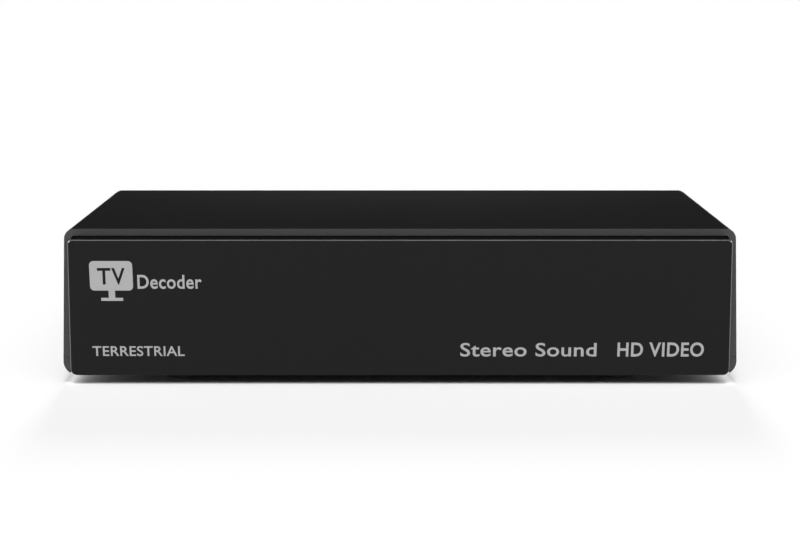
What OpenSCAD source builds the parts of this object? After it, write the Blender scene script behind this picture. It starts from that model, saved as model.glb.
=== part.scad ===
// Set-top box for terrestrial television. A wedge-fronted plastic case holds one board with a
// screened tuner, a processor under a heatsink and a row of rear sockets, and a small front board
// with the remote-control receiver. Millimetres, +Z up, front towards -Y.

/* [Case] */
// Width of the case across its bottom edges
body_w = 168.3; // [152:0.1:190]
// Depth of the case between its front and rear rims
body_d = 92; // [83:0.5:125]
// Height of the case without its feet
body_h = 36.8; // [35:0.1:50]
// Thickness of the case walls
wall = 1.75; // [1.5:0.05:2.1]
// Draft of the side walls in degrees
draft = 1.5; // [0:0.1:2.5]
// Radius along the two top edges
top_r = 2.5; // [2.3:0.1:3.5]
// Radius along the two bottom edges
bottom_r = 3.5; // [2.5:0.1:4]
// Height of the base rim up to the seam
seam_h = 4.4; // [4.2:0.1:6]
// Open gap at the seam between the cover and the base rim
seam_gap = 0.2; // [0.1:0.05:0.4]
// Clearance between pieces that slot together
fit_gap = 0.1; // [0.05:0.05:0.2]
// Thickness of the lip that locates the cover on the base
lip_t = 1; // [0.8:0.1:1.4]
// Height of that lip above the seam
lip_h = 2.5; // [1.5:0.1:4]

/* [Vents] */
// Width of one vent slot
vent_w = 1.8; // [1.2:0.1:2.4]
// Distance between neighbouring vent slots
vent_pitch = 4.5; // [3.6:0.1:6]
// Length of a slot in the base
base_vent_l = 20; // [10:1:24]
// Number of slots in each base row
base_vent_n = 18; // [6:1:18]
// Length of a slot in a side wall
side_vent_l = 12; // [6:1:16]
// Number of slots in each side wall
side_vent_n = 9; // [3:1:10]
// Distance of the side slots from the rear rim
side_vent_back = 12; // [8:0.5:30]

/* [Front panel] */
// Reach of the panel in front of the case rim at its top edge
panel_reach_top = 7.3; // [5:0.1:10]
// Reach of the panel in front of the case rim at its bottom edge
panel_reach_bottom = 0.3; // [0.2:0.1:2]
// Radius of the panel's top corners
panel_r = 1.2; // [0.8:0.1:1.5]
// Thickness of the panel's face
panel_t = 2; // [1.6:0.1:2.6]
// Thickness of the walls that slot into the case
panel_wall = 1.5; // [1.2:0.1:1.6]
// Depth of the walls that slot into the case
panel_plug = 3; // [2:0.1:4]
// Distance of each panel hook from the middle
hook_x = 36; // [26:1:40]
// Width of a panel hook
hook_w = 8; // [5:0.5:12]

/* [Rear panel] */
// Thickness of the rear panel
rear_t = 1.75; // [1.4:0.05:2.2]
// Depth of the rear panel behind the case rim
rear_recess = 1.3; // [1:0.1:2]

/* [Feet] */
// Diameter of a rubber foot
foot_d = 10; // [7:0.5:12]
// Height of a foot below the case
foot_h = 2.4; // [1.5:0.1:5]
// Distance of each foot from the middle
foot_x = 55.6; // [45:0.1:60]
// Distance of the feet from the front and rear rims
foot_inset = 13; // [11:0.5:15]
// Depth of the seat that holds a foot
foot_seat = 0.6; // [0.3:0.1:0.8]

/* [Screws] */
// Diameter of a case screw
case_screw_d = 3; // [2.5:0.1:3.5]
// Diameter of a case screw's head
case_head_d = 5.6; // [5:0.1:6]
// Height of a case screw's head
case_head_h = 2; // [1.5:0.1:2.4]
// Length of a case screw under its head
case_screw_l = 12; // [9:0.5:16]
// Diameter of a board screw
board_screw_d = 2.5; // [2:0.1:3]
// Length of a board screw under its head
board_screw_l = 5; // [4:0.1:5.3]
// Radial clearance round every screw
screw_gap = 0.06; // [0.05:0.01:0.1]

/* [Main board] */
// Depth of the main board
board_d = 70; // [66:0.5:72]
// Thickness of the boards
board_t = 1.6; // [1:0.1:2]
// Height of the standoffs under the main board
standoff_h = 4; // [3.5:0.1:6]
// Distance of the board screws from the notches for the case screws
board_hole_x = 4.2; // [4:0.1:5]
// Distance of the front board screws from the board's front edge
board_hole_front = 4.2; // [4:0.1:6]
// Distance of the rear board screws from the board's rear edge
board_hole_rear = 34; // [33.5:0.5:40]
// Side of the processor
chip_w = 17; // [14:0.5:23]
// Side of the heatsink
sink_w = 28; // [24:1:30]
// Height of the heatsink
sink_h = 12; // [8:0.5:14]
// Number of heatsink fins
sink_fins = 8; // [5:1:9]

/* [Antenna sockets] */
// Bore of the antenna input socket
antenna_bore = 9.6; // [9.5:0.05:9.8]
// Diameter of the loop-through output sleeve
antenna_sleeve_d = 9.52; // [9.4:0.02:9.6]
// Reach of the antenna sockets behind the case rim
antenna_reach = 8.5; // [8:0.1:12]
// Distance between the two antenna sockets
antenna_pitch = 15; // [14:0.5:18]
// Height of the antenna sockets' axis above the board
antenna_axis_h = 7.4; // [7:0.1:8]
// Depth of the tuner can
can_d = 24; // [18:0.5:26]
// Height of the tuner can
can_h = 14; // [13.6:0.1:16]

/* [Video and data sockets] */
// Width of the 21-way video socket
av_w = 49; // [47:0.5:51]
// Height of the 21-way video socket
av_h = 17.5; // [16:0.5:19]
// Depth of the 21-way video socket
av_d = 17; // [15:0.5:20]
// Width of the digital video socket
video_w = 15; // [14.5:0.1:15.6]
// Height of the digital video socket
video_h = 5.6; // [5.4:0.1:6]
// Width of the data socket
data_w = 13.2; // [12.8:0.1:13.8]
// Height of the data socket
data_h = 5.8; // [5.6:0.1:6.4]

/* [Audio and power sockets] */
// Diameter of the digital audio barrel
audio_d = 8.3; // [8.2:0.05:8.4]
// Reach of the digital audio barrel behind the rear panel
audio_reach = 8; // [7:0.1:8.5]
// Bore of the power socket
power_bore = 6; // [5.6:0.1:6.4]
// Diameter of the power socket's pin
power_pin_d = 2.1; // [1.8:0.1:2.5]

/* [Front board] */
// Width of the front board
front_board_w = 44; // [40:1:60]
// Height of the front board
front_board_h = 16; // [14:0.5:18]
// Height of the front board's middle above the underside of the case
front_board_z = 17; // [16:0.5:20]
// Distance of the front board behind the case rim
front_board_back = 5; // [4.5:0.1:7]

/* [Hidden] */
$fn = 48;

// Case levels and planes
eps = 0.01;
least_r = 0.3;
arc_ease = 0.002;
base_z = foot_h;
floor_z = base_z + wall;
seam_z = base_z + seam_h;
top_z = base_z + body_h;
ceiling_z = top_z - wall;
depth_all = panel_reach_top + body_d + antenna_reach;
front_y = panel_reach_top - depth_all / 2;
rear_y = front_y + body_d;
rim_t = wall + fit_gap + lip_t;

// Front panel
ledge_z = ceiling_z - fit_gap;
panel_inset = wall + fit_gap;
panel_lean = (panel_reach_top - panel_reach_bottom) / (ledge_z - base_z);
plug_y = front_y + panel_plug;
hook_t = 1.2;
hook_l = 7;
barb_l = 2;
barb_h = 0.9;

// Rear panel
rear_face_y = rear_y - rear_recess;
rear_back_y = rear_face_y - rear_t;
rear_rib_t = 1.4;
rear_rib_h = 2.2;

// Case screws and the posts that they join
head_sink = 0.6;
base_boss_wall = 1.6;
base_boss_grip = 5.5;
cover_boss_wall = 1.9;
base_boss_r = case_head_d / 2 + base_boss_wall;
base_boss_h = case_head_h + head_sink + base_boss_grip;
boss_z = base_z + base_boss_h;
cover_boss_r = case_screw_d / 2 + cover_boss_wall;
boss_side = 0.5;
boss_front_in = 12.5;
boss_rear_in = 34;
boss_x = half_w(boss_z) - rim_t - boss_side - base_boss_r;
boss_spots = [for (sx = [-1, 1], y = [front_y + boss_front_in, rear_y - boss_rear_in]) [sx * boss_x, y]];
head_seat_z = base_z + head_sink + case_head_h;

// Main board
board_gap = 0.6;
board_z = floor_z + standoff_h;
pcb_top = board_z + board_t;
board_half = half_w(pcb_top) - rim_t - board_gap;
board_rear_gap = 0.5;
board_rear_y = rear_back_y - board_rear_gap;
board_front_y = board_rear_y - board_d;
standoff_wall = 1.8;
standoff_r = board_screw_d / 2 + standoff_wall;
board_head_d = board_screw_d * 1.9;
board_head_h = 1.6;
board_screw_x = boss_x - base_boss_r - board_gap - board_hole_x;
board_spots = [
    for (sx = [-1, 1], y = [board_front_y + board_hole_front, board_rear_y - board_hole_rear])
        [sx * board_screw_x, y]
];

// Processor stack and the other parts on the board
chip_x = -6;
chip_back = 24;
chip_spot = [chip_x, board_front_y + chip_back];
chip_t = 1.4;
pad_t = 0.5;
sink_base_t = 2.5;
sink_fin_t = 1.2;
memory_x = 24;
memory_back = 20;
memory_spot = [memory_x, board_front_y + memory_back];
memory_size = [10, 13, 1.1];
flash_back = 6;
flash_spot = [memory_x, board_front_y + flash_back];
flash_size = [5.3, 8, 1.7];
crystal_x = -27;
crystal_back = 12;
crystal_spot = [crystal_x, board_front_y + crystal_back];
crystal_l = 11;
crystal_d = 4.6;
crystal_h = 3.6;
regulator_in = 23;
regulator_back = 14;
regulator_x = -board_screw_x + regulator_in;
regulator_y = board_front_y + regulator_back;
regulator_pitch = 10;
regulator_n = 2;
regulator_size = [6.5, 3.5, 1.7];
regulator_tab = [3, 2, 0.5];
inductor_in = 11;
inductor_back = 16;
inductor_x = -board_screw_x + inductor_in;
inductor_y = board_front_y + inductor_back;
inductor_pitch = 15;
inductor_n = 2;
inductor_w = 8;
inductor_h = 4.2;
inductor_foot_t = 1;
passive_size = [1.6, 0.8, 0.8];
passive_pitch = 4;
passive_row_x = -22;
passive_row_back = 44;
passive_row = [passive_row_x, board_front_y + passive_row_back];
passive_column_x = 36;
passive_column_back = 8;
passive_column = [passive_column_x, board_front_y + passive_column_back];
passive_row_n = 8;
passive_column_n = 6;
passives = [
    for (i = [0:passive_row_n - 1]) passive_row + [i * passive_pitch, 0],
    for (i = [0:passive_column_n - 1], dx = [0, passive_pitch]) passive_column + [dx, i * passive_pitch]
];
// Capacitors: the diameters and heights of a large, a middle and a small one, and their places
capacitor_large = [8, 12];
capacitor_middle = [6.3, 11];
capacitor_small = [5, 11];
capacitor_in = 4;
capacitor_front = 24;
capacitor_x = -board_screw_x + capacitor_in;
capacitor_y = board_rear_y - capacitor_front;
capacitor_pitch = 10;
video_capacitor_x = 10;
video_capacitor_pitch = 8;
tuner_capacitor_off = 14;
tuner_capacitor_back = 14;
tuner_capacitor = [passive_column_x + tuner_capacitor_off, board_front_y + tuner_capacitor_back];
crimp_z = 2;
crimp_h = 0.6;
crimp_in = 0.35;
capacitors = [
    [[capacitor_x, capacitor_y], capacitor_large],
    [[capacitor_x + capacitor_pitch, capacitor_y], capacitor_large],
    [[capacitor_x + 2 * capacitor_pitch, capacitor_y], capacitor_middle],
    [[video_capacitor_x, capacitor_y], capacitor_small],
    [[video_capacitor_x + video_capacitor_pitch, capacitor_y], capacitor_small],
    [tuner_capacitor, capacitor_middle]
];

// Row of sockets, spread evenly along the rear edge of the board
row_margin = 6;
power_w = 9;
audio_w = 10;
can_margin = 8.5;
can_w = antenna_pitch + 2 * can_margin;
row_w = power_w + audio_w + av_w + video_w + data_w + can_w;
row_gap = (2 * (board_half - row_margin) - row_w) / 5;
power_x = -board_half + row_margin + power_w / 2;
audio_x = power_x + power_w / 2 + row_gap + audio_w / 2;
av_x = audio_x + audio_w / 2 + row_gap + av_w / 2;
video_x = av_x + av_w / 2 + row_gap + video_w / 2;
data_x = video_x + video_w / 2 + row_gap + data_w / 2;
can_x1 = board_half - row_margin;
can_x0 = can_x1 - can_w;
antenna_in_x = can_x1 - can_margin;
antenna_out_x = antenna_in_x - antenna_pitch;

// Tuner and antenna sockets
can_t = 0.4;
lid_skirt = 4;
antenna_axis_z = pcb_top + antenna_axis_h;
antenna_end_y = rear_y + antenna_reach;
antenna_wall = 1.1;
antenna_collar_r = antenna_bore / 2 + antenna_wall;
antenna_contact_r = 1.9;
antenna_pin_r = 1.2;
antenna_step = 0.8;
antenna_depth = 9.5;
antenna_sleeve_t = 0.55;
can_rear_y = board_rear_y;
can_front_y = can_rear_y - can_d;

// Video and data sockets
socket_proud = 0.6;
socket_end_y = rear_face_y + socket_proud;
cut_gap = 0.2;
av_cut = 5;
av_wall = 1.6;
av_slit = 1.3;
av_recess = 11;
av_ways = 10;
av_pitch = 3.81;
av_slot = [1.1, 3];
av_row = 5;
av_blade_t = 0.5;
av_blade_h = 2.4;
av_blade_l = 7;
video_d = 11.5;
shell_t = 0.35;
video_chamfer = [2.2, 1.6];
tongue_back = 3.5;
video_tongue_w = 10.8;
video_tongue_t = 1;
data_d = 14;
data_tongue_w = 11;
data_tongue_t = 1.9;
tongue_short = 1.6;

// Audio and power sockets
power_h = 10.8;
power_l = 13;
power_axis_h = 6.4;
power_nose_r = 4;
power_bore_depth = 9;
audio_h = 12.5;
audio_l = 10;
audio_axis_h = 7.4;
audio_nose_r = 4.9;
audio_end_y = rear_face_y + audio_reach;
audio_tube_t = 0.8;
audio_hole_r = 1.65;
audio_hole_depth = 9;

// Front board and what it carries
fb_y = front_y + front_board_back;
fb_back_y = fb_y + board_t;
fb_z = base_z + front_board_z;
fb_x = 3.5;
post_r = 2.4;
post_in = 4;
post_x = front_board_w / 2 - post_in;
front_screw_r = 1;
front_screw_l = 5;
front_head_r = 1.9;
front_head_h = 1.4;
ir_off = 7;
ir_x = fb_x - ir_off;
ir_w = 5.6;
ir_h = 7;
ir_t = 2.6;
ir_lens_r = 2;
led_off = 7;
led_x = fb_x + led_off;
led_r = 1.5;
led_l = 3.2;
led_flange_r = 1.9;
led_flange_t = 0.8;
guide_r = 1.6;
guide_gap = 0.2;
header_w = 10;
header_h = 5;
header_t = 5;
header_off = 10;
header_drop = 4;
header_x = fb_x + header_off;
front_header_z = fb_z - header_drop;
ribbon_reach = 12.85;
board_header_y = fb_back_y + header_t + ribbon_reach;
ribbon_w = 7;
ribbon_t = 0.9;
ribbon_steps = 20;

// Width of one side of the case, at height z
function half_w(z) = body_w / 2 - (z - base_z) * tan(draft);

// Front of the panel's face, at height z
function face_y(z) = front_y - panel_reach_bottom - panel_lean * (z - base_z);

// Extrudes a front-view outline from y0 to y1
module along_y(y0, y1) {
    translate([0, y1, 0]) rotate([90, 0, 0]) linear_extrude(y1 - y0) children();
}

// Extrudes a side-view outline from x0 to x1
module along_x(x0, x1) {
    translate([x0, 0, 0]) rotate([90, 0, 90]) linear_extrude(x1 - x0) children();
}

// Cylinder whose axis runs along Y, from y0 to y1
module rod_y(x, z, r, y0, y1) {
    translate([x, y1, z]) rotate([90, 0, 0]) cylinder(r = r, h = y1 - y0);
}

// Block between two opposite corners
module block(low, high) {
    translate(low) cube(high - low);
}

// Front view of the drafted case between two heights, set in from its sides, with round corners.
// The flats lie a hair inside their arcs, so that each arc ends in a clean crossing.
module drafted_outline(inset, z0, z1, r0, r1) {
    c0 = [half_w(z0 + r0) - (inset + r0) / cos(draft), z0 + r0];
    c1 = [half_w(z1 - r1) - (inset + r1) / cos(draft), z1 - r1];
    out = [cos(draft), sin(draft)];
    right = [
        [c0.x, z0 + arc_ease],
        c0 + (r0 - arc_ease) * out,
        c1 + (r1 - arc_ease) * out,
        [c1.x, z1 - arc_ease]
    ];
    polygon(concat(right, [for (i = [3:-1:0]) [-right[i].x, right[i].y]]));
    for (sx = [-1, 1]) {
        translate([sx * c0.x, c0.y]) circle(r0);
        translate([sx * c1.x, c1.y]) circle(r1);
    }
}

// The same with square corners
module drafted_slice(inset, z0, z1) {
    x0 = half_w(z0) - inset / cos(draft);
    x1 = half_w(z1) - inset / cos(draft);
    polygon([[-x0, z0], [x0, z0], [x1, z1], [-x1, z1]]);
}

// Outer front view of the whole case
module case_outline() {
    drafted_outline(0, base_z, top_z, bottom_r, top_r);
}

// Pan-head screw that points up from z = 0, with its head below and a cross recess
module screw(r, l, head_r, head_h) {
    cross_w = head_r * 0.3;
    cross_l = head_r * 1.1;
    cross_h = head_h * 0.5;
    cylinder(r = r, h = l);
    difference() {
        translate([0, 0, -head_h]) cylinder(r = head_r, h = head_h);
        for (a = [0, 90])
            rotate(a)
                translate([-cross_l / 2, -cross_w / 2, -head_h - eps])
                    cube([cross_l, cross_w, cross_h + eps]);
    }
}

// Upper shell: the top and both side walls in one, with the screw posts hanging inside
module top_cover() {
    vent_z = (seam_z + lip_h + ceiling_z) / 2 - side_vent_l / 2;
    vent_y = rear_y - side_vent_back - side_vent_n * vent_pitch;
    color("#202020") {
        difference() {
            along_y(front_y, rear_y)
                difference() {
                    case_outline();
                    drafted_outline(wall, base_z + wall, ceiling_z, max(bottom_r - wall, least_r),
                        max(top_r - wall, least_r));
                    translate([-body_w, 0]) square([2 * body_w, seam_z + seam_gap]);
                }
            for (i = [0:side_vent_n - 1])
                translate([-body_w, vent_y + i * vent_pitch, vent_z])
                    cube([2 * body_w, vent_w, side_vent_l]);
        }
        for (p = boss_spots)
            translate([p.x, p.y, boss_z])
                difference() {
                    cylinder(r = cover_boss_r, h = ceiling_z + wall / 2 - boss_z);
                    translate([0, 0, -eps])
                        cylinder(r = case_screw_d / 2 + screw_gap,
                            h = head_seat_z + case_screw_l + 1 - boss_z);
                }
    }
}

// Lower shell: the floor, the rim with its rounded bottom edges, and everything that stands on it
module base_tray() {
    vent_y0 = -base_vent_l - vent_pitch / 2 + (front_y + rear_y) / 2;
    slot_end_y = plug_y + hook_l;
    color("#1c1c1c")
        difference() {
            union() {
                difference() {
                    along_y(front_y, rear_y)
                        difference() {
                            union() {
                                difference() {
                                    case_outline();
                                    translate([-body_w, seam_z]) square([2 * body_w, body_h]);
                                }
                                drafted_slice(wall + fit_gap, seam_z - 1, seam_z + lip_h);
                            }
                            drafted_slice(rim_t, floor_z, top_z + 1);
                        }
                    along_y(front_y - 1, plug_y + fit_gap) drafted_slice(wall, base_z - 1, top_z);
                    along_y(rear_back_y - fit_gap, rear_y + 1) drafted_slice(wall, floor_z, top_z);
                }
                for (p = boss_spots)
                    translate([p.x, p.y, floor_z - wall / 2])
                        cylinder(r = base_boss_r, h = boss_z - floor_z + wall / 2);
                for (p = board_spots)
                    translate([p.x, p.y, floor_z - wall / 2])
                        cylinder(r = standoff_r, h = board_z - floor_z + wall / 2);
                rear_ribs();
            }
            for (p = boss_spots)
                translate([p.x, p.y, base_z - 1]) {
                    cylinder(r = case_head_d / 2 + screw_gap, h = head_seat_z - base_z + 1);
                    cylinder(r = case_screw_d / 2 + screw_gap, h = base_boss_h + 2);
                }
            for (p = board_spots)
                translate([p.x, p.y, pcb_top - board_screw_l - 0.4])
                    cylinder(r = board_screw_d / 2 + screw_gap, h = board_screw_l);
            for (p = foot_spots())
                translate([p.x, p.y, base_z - 1])
                    cylinder(r = foot_d / 2 + fit_gap, h = foot_seat + 1);
            for (row = [0, 1], i = [0:base_vent_n - 1])
                translate([(i - (base_vent_n - 1) / 2) * vent_pitch - vent_w / 2,
                        vent_y0 + row * (base_vent_l + vent_pitch), base_z - 1])
                    cube([vent_w, base_vent_l, wall + 2]);
            for (sx = [-1, 1])
                translate([sx * hook_x - hook_w / 2 - fit_gap, slot_end_y - barb_l - fit_gap, base_z - 1])
                    cube([hook_w + 2 * fit_gap, barb_l + 2 * fit_gap, wall + 2]);
        }
}

// Sill behind the rear panel and short ribs in front of it, which hold its lower edge
module rear_ribs() {
    rib_x = half_w(floor_z) - rim_t - 2;
    rib_l = 16;
    block([-rib_x, rear_face_y + fit_gap, floor_z - wall / 2], [rib_x, rear_y, floor_z + rear_rib_h]);
    for (sx = [-1, 0, 1])
        translate([sx * (rib_x - rib_l / 2), 0, 0])
            block([-rib_l / 2, rear_back_y - fit_gap - rear_rib_t, floor_z - wall / 2],
                [rib_l / 2, rear_back_y - fit_gap, floor_z + rear_rib_h]);
}

// Leaning front panel: a hollow wedge whose walls slot into the front of the case
module front_panel() {
    low_z = base_z - 1;
    high_z = ledge_z + 1;
    face_t = panel_t * sqrt(1 + panel_lean * panel_lean);
    lower_r = max(bottom_r - panel_inset, least_r);
    color("#252525") {
        difference() {
            intersection() {
                along_y(face_y(high_z) - 1, plug_y)
                    drafted_outline(panel_inset, base_z, ledge_z, lower_r, panel_r);
                along_x(-body_w, body_w)
                    polygon([[face_y(low_z), low_z], [plug_y + 1, low_z],
                        [plug_y + 1, high_z], [face_y(high_z), high_z]]);
            }
            intersection() {
                along_y(face_y(high_z) - 1, plug_y + 1)
                    drafted_slice(panel_inset + panel_wall, base_z + panel_wall, ledge_z - panel_wall);
                along_x(-body_w, body_w)
                    polygon([[face_y(low_z) + face_t, low_z], [plug_y + 2, low_z],
                        [plug_y + 2, high_z], [face_y(high_z) + face_t, high_z]]);
            }
        }
        for (sx = [-1, 1]) {
            panel_hook(sx * hook_x);
            difference() {
                rod_y(fb_x + sx * post_x, fb_z, post_r, face_y(fb_z) + face_t * 0.6, fb_y);
                rod_y(fb_x + sx * post_x, fb_z, front_screw_r + screw_gap,
                    fb_back_y - front_screw_l - 0.4, fb_y + 1);
            }
        }
    }
}

// Spring tongue that lies on the base floor, with a barb in a slot of the floor
module panel_hook(x) {
    translate([x, 0, 0]) {
        block([-hook_w / 2, plug_y - panel_plug + 0.4, base_z + panel_wall / 2],
            [hook_w / 2, plug_y, floor_z + hook_t]);
        block([-hook_w / 2, plug_y - 1, floor_z], [hook_w / 2, plug_y + hook_l, floor_z + hook_t]);
        block([-hook_w / 2, plug_y + hook_l - barb_l, floor_z - barb_h],
            [hook_w / 2, plug_y + hook_l, floor_z + hook_t / 2]);
    }
}

// Rear panel, with an opening for each socket
module rear_panel() {
    color("#1e1e1e")
        difference() {
            along_y(rear_back_y, rear_face_y)
                drafted_outline(wall + fit_gap, floor_z, ledge_z, least_r, max(top_r - wall, least_r));
            along_y(rear_back_y - 1, rear_face_y + 1) {
                translate([av_x, pcb_top + av_h / 2]) av_shape(-cut_gap);
                translate([video_x, pcb_top]) video_shape(-cut_gap);
                translate([data_x - data_w / 2 - cut_gap, pcb_top - cut_gap])
                    square([data_w + 2 * cut_gap, data_h + 2 * cut_gap]);
            }
            for (x = [antenna_in_x, antenna_out_x])
                rear_hole(x, antenna_axis_z, antenna_collar_r);
            rear_hole(audio_x, pcb_top + audio_axis_h, audio_nose_r);
            rear_hole(power_x, pcb_top + power_axis_h, power_nose_r);
        }
}

// Round opening in the rear panel for a socket of radius r
module rear_hole(x, z, r) {
    rod_y(x, z, r + cut_gap, rear_back_y - 1, rear_face_y + 1);
}

// Places of the feet: front left, front right, rear left, rear right
function foot_spots() = [
    for (y = [front_y + foot_inset, rear_y - foot_inset], sx = [-1, 1]) [sx * foot_x, y]
];

// Rubber foot with a softened lower edge, glued into its seat
module foot(i) {
    edge = min(0.6, foot_h / 3);
    color("#141414")
        translate(foot_spots()[i]) {
            cylinder(r1 = foot_d / 2 - edge, r2 = foot_d / 2, h = edge);
            translate([0, 0, edge]) cylinder(r = foot_d / 2, h = foot_h + foot_seat - edge);
        }
}

// Screws that hold the cover to the base from below
module case_screws() {
    color("#8a8a8a")
        for (p = boss_spots)
            translate([p.x, p.y, head_seat_z])
                screw(case_screw_d / 2, case_screw_l, case_head_d / 2, case_head_h);
}

// Main circuit board, notched round the posts of the case screws
module main_board() {
    color("#1f5a38")
        difference() {
            block([-board_half, board_front_y, board_z], [board_half, board_rear_y, pcb_top]);
            for (p = board_spots)
                translate([p.x, p.y, board_z - 1])
                    cylinder(r = board_screw_d / 2 + screw_gap, h = board_t + 2);
            for (p = boss_spots)
                boss_notch(p);
        }
}

// Notch in the main board round a case screw's post, open to the side
module boss_notch(p) {
    r = base_boss_r + board_gap;
    reach = body_w / 2;
    translate([p.x, p.y, board_z - 1])
        linear_extrude(board_t + 2) {
            circle(r);
            translate([p.x < 0 ? -reach : 0, arc_ease - r]) square([reach, 2 * (r - arc_ease)]);
        }
}

// Screws that hold the main board on its standoffs
module board_screws() {
    color("#9a9a9a")
        for (p = board_spots)
            translate([p.x, p.y, pcb_top])
                mirror([0, 0, 1])
                    screw(board_screw_d / 2, board_screw_l, board_head_d / 2, board_head_h);
}

// Flat part of a given size that stands on the board
module on_board(spot, size) {
    translate([spot.x - size.x / 2, spot.y - size.y / 2, pcb_top]) cube(size);
}

// Main processor
module processor() {
    color("#262626") on_board(chip_spot, [chip_w, chip_w, chip_t]);
}

// Soft pad between the processor and its heatsink
module thermal_pad() {
    color("#b9b9c4")
        translate([0, 0, chip_t]) on_board(chip_spot, [chip_w - 1, chip_w - 1, pad_t]);
}

// Finned heatsink on the processor
module heatsink() {
    fin_pitch = (sink_w - sink_fin_t) / (sink_fins - 1);
    color("#a9adb0")
        translate([0, 0, chip_t + pad_t]) {
            on_board(chip_spot, [sink_w, sink_w, sink_base_t]);
            for (i = [0:sink_fins - 1])
                on_board(chip_spot + [(i - (sink_fins - 1) / 2) * fin_pitch, 0],
                    [sink_fin_t, sink_w, sink_h]);
        }
}

// Memory chip beside the processor
module memory_chip() {
    color("#242424") on_board(memory_spot, memory_size);
}

// Program memory with its two rows of leads
module flash_chip() {
    lead = [0.45, 1.2, 0.3];
    lead_pitch = 1.27;
    color("#242424") {
        on_board(flash_spot, [flash_size.x, flash_size.y - 2 * lead.y + 0.6, flash_size.z]);
        for (i = [-1.5:1.5], sy = [-1, 1])
            on_board(flash_spot + [i * lead_pitch, sy * (flash_size.y - lead.y) / 2], lead);
    }
}

// Crystal in its oval metal can
module crystal() {
    color("#b8b8b8")
        translate([crystal_spot.x, crystal_spot.y, pcb_top]) {
            for (sx = [-1, 1])
                translate([sx * (crystal_l - crystal_d) / 2, 0, 0])
                    cylinder(r = crystal_d / 2, h = crystal_h);
            translate([-(crystal_l - crystal_d) / 2, -crystal_d / 2, 0])
                cube([crystal_l - crystal_d, crystal_d, crystal_h]);
        }
}

// Voltage regulators, each with a cooling tab
module voltage_regulators() {
    color("#262626")
        for (i = [0:regulator_n - 1]) {
            spot = [regulator_x, regulator_y + i * regulator_pitch];
            on_board(spot, regulator_size);
            on_board(spot + [0, regulator_size.y / 2], regulator_tab);
        }
}

// Power inductors: a square base with a round wound core
module power_inductors() {
    color("#3a3a3a")
        for (i = [0:inductor_n - 1]) {
            spot = [inductor_x, inductor_y + i * inductor_pitch];
            on_board(spot, [inductor_w, inductor_w, inductor_foot_t]);
            translate([spot.x, spot.y, pcb_top + inductor_foot_t / 2])
                cylinder(d = inductor_w - inductor_foot_t, h = inductor_h - inductor_foot_t / 2);
        }
}

// Electrolytic capacitors, each with a crimped ring near its foot
module electrolytic_capacitors() {
    color("#23344d")
        for (c = capacitors)
            translate([c[0].x, c[0].y, pcb_top])
                difference() {
                    cylinder(d = c[1][0], h = c[1][1]);
                    translate([0, 0, crimp_z])
                        difference() {
                            cylinder(d = c[1][0] + 2, h = crimp_h);
                            translate([0, 0, -1]) cylinder(d = c[1][0] - 2 * crimp_in, h = crimp_h + 2);
                        }
                }
}

// Small surface-mounted resistors and capacitors
module chip_passives() {
    color("#b59a72")
        for (p = passives)
            on_board(p, passive_size);
}

// Screening frame round the tuner, soldered to the board
module tuner_frame() {
    color("#b4b7b8")
        difference() {
            block([can_x0, can_front_y, pcb_top], [can_x1, can_rear_y, pcb_top + can_h]);
            block([can_x0 + can_t, can_front_y + can_t, pcb_top - 1],
                [can_x1 - can_t, can_rear_y - can_t, pcb_top + can_h + 1]);
        }
}

// Lid that clips over three sides of the tuner frame
module tuner_lid() {
    lid_gap = 0.05;
    top = pcb_top + can_h;
    color("#bfc2c3")
        difference() {
            block([can_x0 - lid_gap - can_t, can_front_y - lid_gap - can_t, top - lid_skirt],
                [can_x1 + lid_gap + can_t, can_rear_y, top + can_t]);
            block([can_x0 - lid_gap, can_front_y - lid_gap, top - lid_skirt - 1],
                [can_x1 + lid_gap, can_rear_y + 1, top]);
        }
}

// Tuner circuit inside the can
module tuner_chip() {
    tuner_size = [6, 6, 1];
    color("#262626")
        on_board([(can_x0 + can_x1) / 2, (can_front_y + can_rear_y) / 2], tuner_size);
}

// Outer shell of the antenna input
module antenna_in_shell() {
    color("#c2c4c4")
        difference() {
            rod_y(antenna_in_x, antenna_axis_z, antenna_collar_r, can_rear_y, antenna_end_y);
            rod_y(antenna_in_x, antenna_axis_z, antenna_bore / 2, antenna_end_y - antenna_depth,
                antenna_end_y + 1);
        }
}

// Insulating disc that carries the input's centre contact
module antenna_in_insulator() {
    back_y = antenna_end_y - antenna_depth;
    color("#e6e4da")
        difference() {
            rod_y(antenna_in_x, antenna_axis_z, antenna_bore / 2 - fit_gap, back_y, back_y + 1.5);
            rod_y(antenna_in_x, antenna_axis_z, antenna_contact_r + fit_gap / 2, back_y - 1, back_y + 3);
        }
}

// Hollow centre contact of the antenna input
module antenna_in_contact() {
    back_y = antenna_end_y - antenna_depth;
    color("#cbb36a")
        difference() {
            rod_y(antenna_in_x, antenna_axis_z, antenna_contact_r, back_y, antenna_end_y - antenna_step);
            rod_y(antenna_in_x, antenna_axis_z, antenna_pin_r + fit_gap / 2, back_y + 1, antenna_end_y);
        }
}

// Outer sleeve of the loop-through output, with the collar that fills its opening in the rear panel
module antenna_out_sleeve() {
    color("#c2c4c4")
        difference() {
            union() {
                rod_y(antenna_out_x, antenna_axis_z, antenna_collar_r, can_rear_y, socket_end_y);
                rod_y(antenna_out_x, antenna_axis_z, antenna_sleeve_d / 2, can_rear_y, antenna_end_y);
            }
            rod_y(antenna_out_x, antenna_axis_z, antenna_sleeve_d / 2 - antenna_sleeve_t,
                antenna_end_y - antenna_depth, antenna_end_y + 1);
        }
}

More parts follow.
